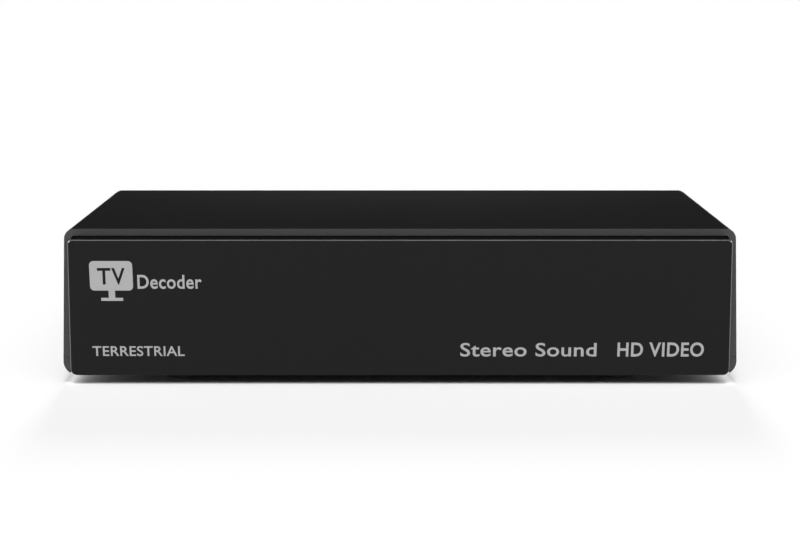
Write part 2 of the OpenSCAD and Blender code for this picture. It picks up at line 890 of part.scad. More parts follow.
// Insulating disc that carries the output's centre pin
module antenna_out_insulator() {
    back_y = antenna_end_y - antenna_depth;
    color("#e6e4da")
        difference() {
            rod_y(antenna_out_x, antenna_axis_z, antenna_sleeve_d / 2 - antenna_sleeve_t - fit_gap,
                back_y, back_y + 1.5);
            rod_y(antenna_out_x, antenna_axis_z, antenna_pin_r + fit_gap / 2, back_y - 1, back_y + 3);
        }
}

// Centre pin of the loop-through output
module antenna_out_pin() {
    color("#cbb36a")
        rod_y(antenna_out_x, antenna_axis_z, antenna_pin_r, antenna_end_y - antenna_depth,
            antenna_end_y - antenna_step);
}

// Rear view of the 21-way socket, set in by g, with one lower corner cut off
module av_shape(g) {
    x = av_w / 2 - g;
    z = av_h / 2 - g;
    polygon([[-x + av_cut, -z], [x, -z], [x, z], [-x, z], [-x, -z + av_cut]]);
}

// Housing of the 21-way socket, with the recess that takes the plug's metal skirt
module av_socket_housing() {
    color("#1a1a1a")
        difference() {
            along_y(socket_end_y - av_d, socket_end_y)
                translate([av_x, pcb_top + av_h / 2]) av_shape(0);
            along_y(socket_end_y - av_recess, socket_end_y + 1)
                translate([av_x, pcb_top + av_h / 2]) av_shape(av_wall);
        }
}

// Contact slots of the 21-way socket: place of slot i in row sz
function av_slot_x(i) = (i - (av_ways - 1) / 2) * av_pitch + 1;

// Contact carrier in the middle of the 21-way socket
module av_socket_insert() {
    color("#232323")
        difference() {
            along_y(socket_end_y - av_recess, socket_end_y - 1)
                translate([av_x, pcb_top + av_h / 2]) av_shape(av_wall + av_slit);
            for (i = [0:av_ways - 1], sz = [-1, 1])
                translate([av_x + av_slot_x(i), 0,
                        pcb_top + av_h / 2 + sz * av_row / 2])
                    block([-av_slot.x / 2, socket_end_y - av_recess + 1, -av_slot.y / 2],
                        [av_slot.x / 2, socket_end_y, av_slot.y / 2]);
        }
}

// Contact blades of the 21-way socket, each standing in its slot
module av_socket_contacts() {
    color("#b9a878")
        for (i = [0:av_ways - 1], sz = [-1, 1])
            translate([av_x + av_slot_x(i), 0, pcb_top + av_h / 2 + sz * av_row / 2])
                block([-av_blade_t / 2, socket_end_y - av_recess + 1, -av_blade_h / 2],
                    [av_blade_t / 2, socket_end_y - av_recess + 1 + av_blade_l, av_blade_h / 2]);
}

// Rear view of the digital video socket, standing on the board and set in by g
module video_shape(g) {
    x = video_w / 2 - g;
    cut = video_chamfer;
    polygon([[-x + cut.x, g], [x - cut.x, g], [x, g + cut.y], [x, video_h - g],
        [-x, video_h - g], [-x, g + cut.y]]);
}

// Folded metal shell of the digital video socket
module video_socket_shell() {
    color("#b9bbbc")
        along_y(socket_end_y - video_d, socket_end_y)
            translate([video_x, pcb_top])
                difference() {
                    video_shape(0);
                    video_shape(shell_t);
                }
}

// Plastic block and contact tongue of the digital video socket
module video_socket_tongue() {
    mid_z = pcb_top + video_h / 2;
    back_y = socket_end_y - video_d;
    color("#1c1c1c") {
        along_y(back_y, back_y + tongue_back)
            translate([video_x, pcb_top]) video_shape(shell_t + fit_gap / 2);
        block([video_x - video_tongue_w / 2, back_y + tongue_back - 1, mid_z - video_tongue_t / 2],
            [video_x + video_tongue_w / 2, socket_end_y - tongue_short, mid_z + video_tongue_t / 2]);
    }
}

// Folded metal shell of the data socket
module data_socket_shell() {
    color("#b9bbbc")
        difference() {
            block([data_x - data_w / 2, socket_end_y - data_d, pcb_top],
                [data_x + data_w / 2, socket_end_y, pcb_top + data_h]);
            block([data_x - data_w / 2 + shell_t, socket_end_y - data_d - 1, pcb_top + shell_t],
                [data_x + data_w / 2 - shell_t, socket_end_y + 1, pcb_top + data_h - shell_t]);
        }
}

// Plastic block and contact tongue of the data socket
module data_socket_tongue() {
    back_y = socket_end_y - data_d;
    side = shell_t + fit_gap / 2;
    tongue_z = pcb_top + data_h - shell_t - 0.9 - data_tongue_t;
    color("#e8e8e4") {
        block([data_x - data_w / 2 + side, back_y, pcb_top + side],
            [data_x + data_w / 2 - side, back_y + tongue_back, pcb_top + data_h - side]);
        block([data_x - data_tongue_w / 2, back_y + tongue_back - 1, tongue_z],
            [data_x + data_tongue_w / 2, socket_end_y - tongue_short, tongue_z + data_tongue_t]);
    }
}

// Plastic block of the digital audio socket, with a round nose that fills its opening in the rear panel
module audio_socket_body() {
    z = pcb_top + audio_axis_h;
    color("#1d1d1d")
        difference() {
            union() {
                block([audio_x - audio_w / 2, rear_back_y - fit_gap - audio_l, pcb_top],
                    [audio_x + audio_w / 2, rear_back_y - fit_gap, pcb_top + audio_h]);
                rod_y(audio_x, z, audio_nose_r, rear_back_y - 1, socket_end_y);
            }
            rod_y(audio_x, z, audio_hole_r, audio_end_y - audio_hole_depth, audio_end_y);
        }
}

// Plated barrel of the digital audio socket
module audio_socket_barrel() {
    z = pcb_top + audio_axis_h;
    color("#c6c7c5")
        difference() {
            rod_y(audio_x, z, audio_d / 2, socket_end_y, audio_end_y);
            rod_y(audio_x, z, audio_d / 2 - audio_tube_t, socket_end_y - 1, audio_end_y + 1);
        }
}

// Coloured insulator of the digital audio socket, with the hole for the plug's pin
module audio_socket_insulator() {
    z = pcb_top + audio_axis_h;
    color("#c8641e")
        difference() {
            rod_y(audio_x, z, audio_d / 2 - audio_tube_t - fit_gap / 2, socket_end_y, audio_end_y - 0.4);
            rod_y(audio_x, z, audio_hole_r, socket_end_y - 1, audio_end_y);
        }
}

// Moulded body of the power socket, with a round nose that fills its opening in the rear panel
module power_socket_body() {
    z = pcb_top + power_axis_h;
    color("#191919")
        difference() {
            union() {
                block([power_x - power_w / 2, rear_back_y - fit_gap - power_l, pcb_top],
                    [power_x + power_w / 2, rear_back_y - fit_gap, pcb_top + power_h]);
                rod_y(power_x, z, power_nose_r, rear_back_y - 1, rear_face_y);
            }
            rod_y(power_x, z, power_bore / 2, rear_face_y - power_bore_depth, rear_face_y + 1);
        }
}

// Centre pin of the power socket
module power_socket_pin() {
    color("#c9c9c9")
        rod_y(power_x, pcb_top + power_axis_h, power_pin_d / 2,
            rear_face_y - power_bore_depth, rear_face_y - 1);
}

// Small upright board behind the front panel
module front_board() {
    color("#1f5a38")
        difference() {
            block([fb_x - front_board_w / 2, fb_y, fb_z - front_board_h / 2],
                [fb_x + front_board_w / 2, fb_back_y, fb_z + front_board_h / 2]);
            for (sx = [-1, 1])
                rod_y(fb_x + sx * post_x, fb_z, front_screw_r + screw_gap, fb_y - 1, fb_back_y + 1);
        }
}

// Screws that hold the front board on the panel's posts
module front_board_screws() {
    color("#9a9a9a")
        for (sx = [-1, 1])
            translate([fb_x + sx * post_x, fb_back_y, fb_z])
                rotate([90, 0, 0])
                    screw(front_screw_r, front_screw_l, front_head_r, front_head_h);
}

// Remote-control receiver with its lens
module ir_receiver() {
    color("#2b2230") {
        block([ir_x - ir_w / 2, fb_y - ir_t, fb_z - ir_h / 2], [ir_x + ir_w / 2, fb_y, fb_z + ir_h / 2]);
        intersection() {
            translate([ir_x, fb_y - ir_t + 0.4, fb_z + 0.6]) sphere(r = ir_lens_r);
            block([ir_x - ir_w, fb_y - ir_t - 2 * ir_lens_r, fb_z - ir_h],
                [ir_x + ir_w, fb_y - ir_t + 0.2, fb_z + ir_h]);
        }
    }
}

// Indicator lamp
module status_led() {
    color("#d9d2c8") {
        rod_y(led_x, fb_z, led_flange_r, fb_y - led_flange_t, fb_y);
        rod_y(led_x, fb_z, led_r, fb_y - led_l, fb_y - led_flange_t / 2);
    }
}

// Clear rod that carries the lamp's light to the back of the panel
module light_guide() {
    tip_y = face_y(fb_z - guide_r) + panel_t * sqrt(1 + panel_lean * panel_lean) + guide_gap;
    color("#dfe6ea") rod_y(led_x, fb_z, guide_r, tip_y, fb_y - led_l);
}

// Connector shroud on the back of the front board
module front_header() {
    color("#e9e6da")
        block([header_x - header_w / 2, fb_back_y, front_header_z - header_h / 2],
            [header_x + header_w / 2, fb_back_y + header_t, front_header_z + header_h / 2]);
}

// Connector shroud on the main board
module board_header() {
    color("#e9e6da")
        on_board([header_x, board_header_y], [header_w, header_t, header_h]);
}

// Flat cable between the two connectors, on one cubic curve
function ribbon_ends() = [
    [fb_back_y + header_t, front_header_z],
    [board_header_y, pcb_top + header_h]
];
function ribbon_handles() = [
    ribbon_ends()[0] + ribbon_reach * [0.55, 0.2],
    ribbon_ends()[1] + ribbon_reach * [0, 0.7]
];
function ribbon_point(t) =
    pow(1 - t, 3) * ribbon_ends()[0] + 3 * t * pow(1 - t, 2) * ribbon_handles()[0]
    + 3 * t * t * (1 - t) * ribbon_handles()[1] + pow(t, 3) * ribbon_ends()[1];
function ribbon_way(t) =
    3 * pow(1 - t, 2) * (ribbon_handles()[0] - ribbon_ends()[0])
    + 6 * t * (1 - t) * (ribbon_handles()[1] - ribbon_handles()[0])
    + 3 * t * t * (ribbon_ends()[1] - ribbon_handles()[1]);
function ribbon_edge(t, side) =
    let (way = t == 0 ? [1, 0] : t == 1 ? [0, -1] : ribbon_way(t))
    ribbon_point(t) + side * ribbon_t / 2 * [-way.y, way.x] / norm(way);

module ribbon_cable() {
    steps = [for (i = [0:ribbon_steps]) i / ribbon_steps];
    color("#8d8f96")
        along_x(header_x - ribbon_w / 2, header_x + ribbon_w / 2)
            polygon(concat(
                [for (t = steps) ribbon_edge(t, 1)],
                [for (i = [ribbon_steps:-1:0]) ribbon_edge(steps[i], -1)]));
}

top_cover();
base_tray();
front_panel();
rear_panel();
foot(0);  // foot_front_left
foot(1);  // foot_front_right
foot(2);  // foot_rear_left
foot(3);  // foot_rear_right
case_screws();
main_board();
board_screws();
processor();
thermal_pad();
heatsink();
memory_chip();
flash_chip();
crystal();
voltage_regulators();
power_inductors();
electrolytic_capacitors();
chip_passives();
tuner_frame();
tuner_lid();
tuner_chip();
antenna_in_shell();
antenna_in_insulator();
antenna_in_contact();
antenna_out_sleeve();
antenna_out_insulator();
antenna_out_pin();
av_socket_housing();
av_socket_insert();
av_socket_contacts();
video_socket_shell();
video_socket_tongue();
data_socket_shell();
data_socket_tongue();
audio_socket_body();
audio_socket_barrel();
audio_socket_insulator();
power_socket_body();
power_socket_pin();
front_board();
front_board_screws();
ir_receiver();
status_led();
light_guide();
front_header();
board_header();
ribbon_cable();
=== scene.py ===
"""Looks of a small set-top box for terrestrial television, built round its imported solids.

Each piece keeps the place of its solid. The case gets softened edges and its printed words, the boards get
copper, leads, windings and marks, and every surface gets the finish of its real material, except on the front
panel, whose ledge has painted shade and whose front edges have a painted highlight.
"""
import math
from collections import namedtuple

import bmesh
import bpy
from bpy.props import FloatProperty, FloatVectorProperty, IntProperty, PointerProperty
from mathutils import Matrix, Vector


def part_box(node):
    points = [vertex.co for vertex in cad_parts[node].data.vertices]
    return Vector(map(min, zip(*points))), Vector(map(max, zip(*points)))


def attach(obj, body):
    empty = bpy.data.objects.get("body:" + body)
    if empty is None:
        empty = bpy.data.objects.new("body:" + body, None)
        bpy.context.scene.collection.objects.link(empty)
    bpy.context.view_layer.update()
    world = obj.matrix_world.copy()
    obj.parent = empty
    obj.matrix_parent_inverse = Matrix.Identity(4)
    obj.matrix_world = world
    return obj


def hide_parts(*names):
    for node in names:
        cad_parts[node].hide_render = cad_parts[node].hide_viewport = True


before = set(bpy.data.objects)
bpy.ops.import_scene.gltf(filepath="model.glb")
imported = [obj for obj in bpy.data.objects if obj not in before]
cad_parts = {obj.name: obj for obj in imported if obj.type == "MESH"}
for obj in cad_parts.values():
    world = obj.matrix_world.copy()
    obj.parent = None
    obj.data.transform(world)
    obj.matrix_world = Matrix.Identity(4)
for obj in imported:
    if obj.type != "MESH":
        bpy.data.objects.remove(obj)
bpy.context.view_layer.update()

bl_info = {
    "name": "Television decoder",
    "version": (1, 0, 0),
    "blender": (4, 5, 0),
    "location": "3D View > Sidebar > Decoder",
    "description": "Builds the looks of a set-top box round its solids",
    "category": "Object",
}

MM = 0.001
# Edges that turn by more than this are sharp
CREASE = math.radians(35)
# A face looks some way when its normal reaches this far along it
FACING = 0.9
# Height of the font's capitals as a share of its size, and the extra room between letters for bolder strokes
CAPITAL = 0.73
BOLD_ROOM = 2.5
# Nearly all of the noise lies between these
NOISE_LOW, NOISE_HIGH = 0.3, 0.7


def linear(code):
    """Linear RGBA of an sRGB hex colour."""
    parts = [int(code[i:i + 2], 16) / 255 for i in (1, 3, 5)]
    return [c / 12.92 if c <= 0.04045 else ((c + 0.055) / 1.055) ** 2.4 for c in parts] + [1.0]


def length(name, description, millimetres):
    """A length that a user can change."""
    return FloatProperty(name=name, description=description, default=millimetres * MM, min=0, precision=5,
                         subtype="DISTANCE", unit="LENGTH")


def colour(name, description, code):
    """A colour that a user can change."""
    return FloatVectorProperty(name=name, description=description, default=linear(code), size=4, min=0, max=1,
                               subtype="COLOR")


class CaseLooks(bpy.types.PropertyGroup):
    """Sizes and colours of the case."""
    cover_edge: length("Cover edge", "Width of the softened edges of the cover and the base", 0.06)
    panel_edge: length("Panel edge", "Width of the bright edge round the front panel", 0.22)
    lower_fade: length("Lower fade", "Height over which the bright edge grows round the lower corners", 1.8)
    print_thickness: length("Print thickness", "Thickness of the printed words", 0.02)
    seam: length("Seam", "Width of the line between the cover and the base", 0.07)
    rear_print: length("Rear print", "Height of the capitals beside the sockets", 1.9)
    cover_colour: colour("Cover", "Colour of the cover's plastic", "#282828")
    base_colour: colour("Base", "Colour of the base's and the rear panel's plastic", "#282828")
    panel_colour: colour("Front panel", "Colour of the front panel's plastic", "#1d1d1d")
    print_colour: colour("Print", "Colour of the printed words", "#a4a4a4")


class BoardLooks(bpy.types.PropertyGroup):
    """Sizes and colours of the boards and of what they carry."""
    mask_colour: colour("Solder mask", "Colour of the lacquer on the boards", "#12452b")
    lead_width: length("Lead width", "Width of one chip lead", 0.34)
    lead_pitch: length("Lead pitch", "Distance between neighbouring chip leads", 0.8)
    lead_reach: length("Lead reach", "Reach of a chip lead beside its chip", 0.95)
    wire: length("Winding wire", "Diameter of the inductors' copper wire", 0.42)
    winding_turns: IntProperty(name="Winding turns", description="Turns of wire on each inductor",
                               default=6, min=1)
    ribbon_wires: IntProperty(name="Ribbon wires", description="Wires side by side in the ribbon",
                              default=7, min=2)


class StageLooks(bpy.types.PropertyGroup):
    """Camera, floor and light."""
    lens: FloatProperty(name="Lens", description="Focal length of the camera in millimetres",
                        default=95.36, min=1)
    camera_back: length("Camera distance", "Distance of the camera in front of the middle", 567.4)
    camera_height: length("Camera height", "Height of the camera above the floor", 102.94)
    pitch: FloatProperty(name="Pitch", description="How far the camera looks down",
                         default=math.radians(8.079), subtype="ANGLE", unit="ROTATION")
    floor_colour: colour("Floor", "Colour of the floor", "#f4f4f4")


def add_node(tree, kind, settings=None, links=None):
    """Adds one node. Settings are its attributes or input values. Links are the sockets that feed its inputs,
    or nodes that do so by their first output."""
    node = tree.nodes.new(kind)
    for key, value in (settings or {}).items():
        if isinstance(key, str) and hasattr(node, key):
            setattr(node, key, value)
        else:
            node.inputs[key].default_value = value
    for key, source in (links or {}).items():
        socket = source if isinstance(source, bpy.types.NodeSocket) else source.outputs[0]
        tree.links.new(socket, node.inputs[key])
    return node


Finish = namedtuple("Finish", "colour vary smooth rough grain relief patch along shader",
                    defaults=((1, 1, 1), {}))
METAL = {"Metallic": 1.0}

# Each finish: its colour, as a hex value or the name of a colour of the case, how far its patches vary from
# it, its least and greatest roughness, and in millimetres the size of its grain, the height of the grain and
# the size of its patches. Some finishes stretch their pattern along an axis or set more values of the shader.
FINISHES = {
    # ABS moulded in a spark-eroded tool: an even matt skin that greys the black. Its grain is drawn about
    # three times too coarse, so that it shows.
    "abs_eroded_cover": Finish("cover_colour", 0.06, 0.39, 0.41, 0.6, 0.006, 30),
    "abs_eroded_base": Finish("base_colour", 0.06, 0.4, 0.45, 0.6, 0.007, 30),
    # ABS with a soft satin lacquer: nearly no gloss, a flat deep black
    "abs_satin_panel": Finish("panel_colour", 0.06, 0.4, 0.5, 0.45, 0.004, 40,
                              shader={"Specular IOR Level": 0.06}),
    # The same plastic on top of the panel, darker and without gloss: painted shade for the shadow on the
    # ledge
    "abs_bare_ledge": Finish("#181818", 0.06, 0.6, 0.7, 0.45, 0.004, 40, shader={"Specular IOR Level": 0.0}),
    # The same plastic along the panel's front edges, glossy and lighter in colour: a painted highlight that
    # draws a thin bright line
    "abs_burnished_edge": Finish("#4a4a4a", 0.1, 0.2, 0.3, 0.4, 0.001, 9, shader={"Specular IOR Level": 1.0}),
    # Pad-printed ink: a thin, dry, slightly uneven grey
    "ink_pad_printed": Finish("print_colour", 0.08, 0.55, 0.7, 0.25, 0.002, 3,
                              shader={"Specular IOR Level": 0.3}),
    # Moulded rubber: dull and a little dusty
    "rubber_moulded": Finish("#171717", 0.25, 0.7, 0.85, 0.3, 0.015, 4),
    # Zinc plating: pale, cool, with faint cloudy spangles
    "steel_zinc_plated": Finish("#b4b8bd", 0.12, 0.28, 0.42, 0.3, 0.002, 1.2, shader=METAL),
    # Moulded epoxy with a lasered top: charcoal and finely granular
    "epoxy_moulded": Finish("#1f1f21", 0.16, 0.5, 0.62, 0.22, 0.006, 3),
    # Filled silicone: soft, chalky, slightly blue
    "silicone_filled": Finish("#b9b9c4", 0.06, 0.65, 0.8, 0.3, 0.01, 4),
    # Extruded aluminium: long fine streaks along the fins
    "aluminium_extruded": Finish("#c3c5c7", 0.1, 0.3, 0.48, 0.35, 0.004, 2, along=(1, 0.04, 1), shader=METAL),
    # Rolled tinplate: bright, with faint smudges from handling and fine rolling lines
    "tinplate_rolled": Finish("#c6c8c8", 0.08, 0.2, 0.36, 0.3, 0.001, 6, along=(1, 0.12, 1), shader=METAL),
    # Hot-dipped solder on leads: small and bright
    "tin_dipped": Finish("#cfcfcc", 0.1, 0.22, 0.36, 0.2, 0.002, 0.8, shader=METAL),
    # Sintered ferrite: a dense dark grey with a dry pressed skin
    "ferrite_sintered": Finish("#303033", 0.2, 0.55, 0.7, 0.2, 0.008, 2),
    # Enamelled copper wire: warm and glossy
    "copper_enamelled": Finish("#b5622e", 0.15, 0.22, 0.32, 0.3, 0.001, 1.5,
                               shader={**METAL, "Coat Weight": 0.6, "Coat Roughness": 0.15}),
    # Shrunk vinyl sleeve: glossy dark blue with slight stretch marks, and its pale printed stripe
    "vinyl_shrunk": Finish("#1b2c4c", 0.15, 0.25, 0.36, 0.8, 0.004, 3, along=(1, 1, 0.3)),
    "vinyl_stripe": Finish("#bfc5cd", 0.06, 0.3, 0.4, 0.8, 0.004, 3),
    # Deep-drawn aluminium: plain satin metal
    "aluminium_drawn": Finish("#c9cbcd", 0.06, 0.3, 0.4, 0.3, 0.002, 2, shader=METAL),
    # Fired ceramic: matt tan with tiny specks
    "ceramic_fired": Finish("#a9865c", 0.2, 0.5, 0.62, 0.15, 0.003, 1.2),
    # Nickel plating on turned brass: bright and slightly warm, with fine turning marks
    "nickel_plated": Finish("#cfcbc1", 0.06, 0.14, 0.26, 0.3, 0.001, 2.5, along=(1, 5, 1), shader=METAL),
    # Gold-flashed brass contacts: warm yellow metal, clean and even
    "brass_gilded": Finish("#d8b259", 0.08, 0.2, 0.3, 0.3, 0.001, 1.5, shader=METAL),
    # Glass-filled PBT, white and black: faint fibre mottling
    "pbt_white": Finish("#e4e0d3", -0.06, 0.4, 0.5, 0.4, 0.005, 5),
    "pbt_black": Finish("#1b1b1c", 0.16, 0.36, 0.46, 0.4, 0.006, 5),
    # Moulded polypropylene in a signal colour: smooth and a little waxy
    "polypropylene_orange": Finish("#c9601a", 0.06, 0.32, 0.4, 0.5, 0.003, 3),
    # Dyed epoxy that only infrared passes: near-black violet, glossy
    "resin_infrared": Finish("#1d1424", 0.1, 0.08, 0.14, 0.6, 0.001, 3,
                             shader={"Coat Weight": 0.5, "Coat Roughness": 0.05}),
    # Clear cast resin with a trace of haze
    "resin_clear": Finish("#eef2f2", -0.04, 0.08, 0.16, 0.8, 0.001, 3,
                          shader={"Transmission Weight": 0.9, "IOR": 1.5}),
    # Grey vinyl insulation, and the marked wire at one side of the ribbon
    "vinyl_ribbon": Finish("#8b8d93", 0.08, 0.4, 0.5, 0.4, 0.003, 4),
    "vinyl_marked": Finish("#a32a22", 0.08, 0.4, 0.5, 0.4, 0.003, 4),
    # Screen-printed board legend: chalky white
    "ink_screen_printed": Finish("#d9dbd4", -0.08, 0.6, 0.75, 0.2, 0.004, 1.5),
}


def empty_tree(owner):
    """The shader tree of a material or a world, without nodes."""
    owner.use_nodes = True
    owner.node_tree.nodes.clear()
    return owner.node_tree


def finish(name):
    """The material of a finish, made at its first use."""
    made = bpy.data.materials.get(name)
    if made:
        return made
    look = FINISHES[name]
    if look.colour.startswith("#"):
        tone = linear(look.colour)
    else:
        tone = list(getattr(bpy.context.scene.decoder_case, look.colour))
    patch_tone = [c * (1 + look.vary) for c in tone[:3]] + [1.0]
    made = bpy.data.materials.new(name)
    tree = empty_tree(made)
    place = add_node(tree, "ShaderNodeTexCoord")
    drawn = add_node(tree, "ShaderNodeMapping", {"Scale": look.along}, {"Vector": place.outputs["Object"]})
    grain, patches = (add_node(tree, "ShaderNodeTexNoise", {"Scale": 1 / (size * MM), "Detail": detail},
                               {"Vector": drawn}) for size, detail in ((look.grain, 3.0), (look.patch, 4.0)))
    tones = add_node(tree, "ShaderNodeMix", {"data_type": "RGBA", 6: tone, 7: patch_tone}, {0: patches})
    spread = {"From Min": NOISE_LOW, "From Max": NOISE_HIGH, "To Min": look.smooth, "To Max": look.rough}
    gloss = add_node(tree, "ShaderNodeMapRange", spread, {"Value": patches})
    relief = add_node(tree, "ShaderNodeBump", {"Distance": look.relief * MM}, {"Height": grain})
    skin = add_node(tree, "ShaderNodeBsdfPrincipled", look.shader,
                    {"Base Color": tones.outputs[2], "Roughness": gloss, "Normal": relief})
    add_node(tree, "ShaderNodeOutputMaterial", {}, {"Surface": skin})
    return made


def laminate(name, upright):
    """Makes glass-fibre laminate under solder mask: patches of parallel copper tracks glow paler through the
    lacquer, and tinned holes dot it."""
    # Sizes in millimetres, then shares of the tracks' pitch, of the holes' pitch, of all patches and places
    patch_size, track_pitch, hole_pitch = 6.3, 0.9, 2.54
    track_width, hole_radius, bare_patches, bare_places = 0.42, 0.17, 0.3, 0.78
    glow, tin = 2.1, linear("#c9c7bd")
    tint = list(bpy.context.scene.decoder_board.mask_colour)
    over_copper = [c * glow for c in tint[:3]] + [1.0]
    maths, vectors = "ShaderNodeMath", "ShaderNodeVectorMath"
    tree = empty_tree(bpy.data.materials.new(name))
    place = add_node(tree, "ShaderNodeTexCoord")
    # Millimetres on the board, which stands up or lies flat
    turned = add_node(tree, "ShaderNodeMapping",
                      {"Rotation": (math.pi / 2 if upright else 0, 0, 0), "Scale": (1 / MM, 1 / MM, 1 / MM)},
                      {"Vector": place.outputs["Object"]})
    flat = add_node(tree, vectors, {"operation": "MULTIPLY", 1: (1, 1, 0)}, {0: turned})
    # Two grids over the board, with a chance value for each of their cells
    grids, chances = [], []
    for size in (patch_size, hole_pitch):
        grids.append(add_node(tree, vectors, {"operation": "SCALE", "Scale": 1 / size}, {0: flat}))
        cell = add_node(tree, vectors, {"operation": "FLOOR"}, {0: grids[-1]})
        chances.append(add_node(tree, "ShaderNodeTexWhiteNoise", {}, {"Vector": cell}))
    # Each patch has its tracks along or across the board, or none
    lucks = add_node(tree, "ShaderNodeSeparateColor", {}, {"Color": chances[0].outputs["Color"]})
    across = add_node(tree, maths, {"operation": "GREATER_THAN", 1: 0.5}, {0: lucks.outputs[0]})
    routed = add_node(tree, maths, {"operation": "GREATER_THAN", 1: bare_patches}, {0: lucks.outputs[1]})
    axes = add_node(tree, "ShaderNodeSeparateXYZ", {}, {0: flat})
    way = add_node(tree, "ShaderNodeMix", {}, {0: across, 2: axes.outputs[0], 3: axes.outputs[1]})
    lanes = add_node(tree, maths, {"operation": "MULTIPLY", 1: 1 / track_pitch}, {0: way})
    lane = add_node(tree, maths, {"operation": "FRACT"}, {0: lanes})
    line = add_node(tree, maths, {"operation": "LESS_THAN", 1: track_width}, {0: lane})
    track = add_node(tree, maths, {"operation": "MULTIPLY"}, {0: line, 1: routed})
    # Some cells of the finer grid have a hole in their middle
    drilled = add_node(tree, maths, {"operation": "GREATER_THAN", 1: bare_places}, {0: chances[1]})
    local = add_node(tree, vectors, {"operation": "FRACTION"}, {0: grids[1]})
    off = add_node(tree, vectors, {"operation": "DISTANCE", 1: (0.5, 0.5, 0)}, {0: local})
    disc = add_node(tree, maths, {"operation": "LESS_THAN", 1: hole_radius}, {0: off.outputs["Value"]})
    hole = add_node(tree, maths, {"operation": "MULTIPLY"}, {0: disc, 1: drilled})
    mask = add_node(tree, "ShaderNodeMix", {"data_type": "RGBA", 6: tint, 7: over_copper}, {0: track})
    tones = add_node(tree, "ShaderNodeMix", {"data_type": "RGBA", 7: tin}, {0: hole, 6: mask.outputs[2]})
    rough = add_node(tree, "ShaderNodeMapRange", {"To Min": 0.3, "To Max": 0.38}, {"Value": track})
    relief = add_node(tree, "ShaderNodeBump", {"Distance": 0.02 * MM}, {"Height": track})
    skin = add_node(tree, "ShaderNodeBsdfPrincipled", {},
                    {"Base Color": tones.outputs[2], "Metallic": hole, "Roughness": rough, "Normal": relief})
    add_node(tree, "ShaderNodeOutputMaterial", {}, {"Surface": skin})


def merged(node):
    """A copy of a solid's mesh with its loose triangles joined and its flat faces whole."""
    bm = bmesh.new()
    bm.from_mesh(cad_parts[node].data)
    bmesh.ops.remove_doubles(bm, verts=bm.verts, dist=0.002 * MM)
    bmesh.ops.dissolve_limit(bm, angle_limit=math.radians(0.3), verts=bm.verts, edges=bm.edges)
    return bm


def corners(points):
    """The lowest and the highest corner of the box round some points."""
    return [Vector(pick(p[i] for p in points) for i in range(3)) for pick in (min, max)]


def islands(node):
    """The boxes of a node's separate solids, as lowest and highest corners."""
    bm = merged(node)
    boxes, waiting = [], set(bm.verts)
    while waiting:
        group, edge = set(), [next(iter(waiting))]
        while edge:
            vert = edge.pop()
            if vert not in group:
                group.add(vert)
                edge += [e.other_vert(vert) for e in vert.link_edges]
        waiting -= group
        boxes.append(corners([v.co for v in group]))
    bm.free()
    return sorted(boxes, key=lambda b: (round(b[0].y, 5), round(b[0].x, 5)))


def middle(node):
    """The middle of a node's box."""
    low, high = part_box(node)
    return (low + high) / 2


def stand(box):
    """The middle of a box's underside."""
    low, high = box
    return Vector(((low.x + high.x) / 2, (low.y + high.y) / 2, low.z))


def end_face(node):
    """The box of a node's rearmost end."""
    spots = [v.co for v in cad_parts[node].data.vertices]
    rear = max(spot.y for spot in spots)
    return corners([spot for spot in spots if spot.y > rear - 0.01 * MM])


def linked(name, data):
    """A new object in the scene."""
    obj = bpy.data.objects.new(name, data)
    bpy.context.scene.collection.objects.link(obj)
    return obj


def shade(mesh):
    """Makes a mesh's faces smooth and its creases sharp."""
    mesh.polygons.foreach_set("use_smooth", [True] * len(mesh.polygons))
    mesh.set_sharp_from_angle(angle=CREASE)


def to_mesh(name, bm):
    """Turns working geometry into a shaded mesh."""
    mesh = bpy.data.meshes.new(name)
    bm.to_mesh(mesh)
    bm.free()
    imported = mesh.attributes.get("custom_normal")
    if imported:
        mesh.attributes.remove(imported)
    shade(mesh)
    return mesh


def placed(name, shape, coats, nodes=(), body="base"):
    """Puts a mesh or working geometry in the scene with its finishes, on its body and for its solids."""
    mesh = to_mesh(name, shape) if isinstance(shape, bmesh.types.BMesh) else shape
    obj = linked(name, mesh)
    for coat in coats:
        if coat not in mesh.materials:
            mesh.materials.append(finish(coat))
    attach(obj, body)
    if nodes:
        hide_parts(*nodes)
    return obj


def soften(obj, edge, segments=2, chosen=None):
    """Rounds the sharp edges of a piece, or only those that an edge attribute has chosen."""
    bevel = obj.modifiers.new(chosen or "edges", "BEVEL")
    bevel.width = edge
    bevel.segments = segments
    bevel.limit_method = "WEIGHT" if chosen else "ANGLE"
    bevel.edge_weight = chosen or ""
    bevel.use_clamp_overlap = not chosen
    bevel.angle_limit = CREASE
    bevel.harden_normals = segments > 1
    bevel.mark_sharp = segments == 1
    return bevel


def finished(name, node, edge, coats, body="base", pick=None, bm=None):
    """Places a copy of a solid, or a changed one, with softened edges. pick numbers each face's finish."""
    bm = bm or merged(node)
    for face in bm.faces if pick else ():
        face.material_index = pick(face)
    soften(placed(name, bm, coats, [node], body), edge)


def dress(*rows):
    """Finishes solids of the base: name, node, softened edge in millimetres, finish and slot of each. The
    slot is not used.
    """
    for name, node, edge, coat, slot in rows:
        finished(name, node, edge * MM, [coat])


def revolve(bm, profile, steps, centre=(0, 0, 0), coats=None):
    """Turns a profile of radius and height about an upright axis. coats numbers the finish of each band of
    faces, or holds a function that numbers it for each step."""
    rings = []
    for radius, height in profile:
        turns = [2 * math.pi * i / steps for i in range(steps if radius > 0 else 1)]
        spots = [Vector((radius * math.cos(t), radius * math.sin(t), height)) for t in turns]
        rings.append([bm.verts.new(Vector(centre) + spot) for spot in spots])
    for band, (low, high) in enumerate(zip(rings, rings[1:])):
        for i in range(steps):
            j = (i + 1) % steps
            verts = [low[i % len(low)], low[j % len(low)], high[j % len(high)], high[i % len(high)]]
            face = bm.faces.new(list(dict.fromkeys(verts)))
            if coats:
                face.material_index = coats[band](i) if callable(coats[band]) else coats[band]


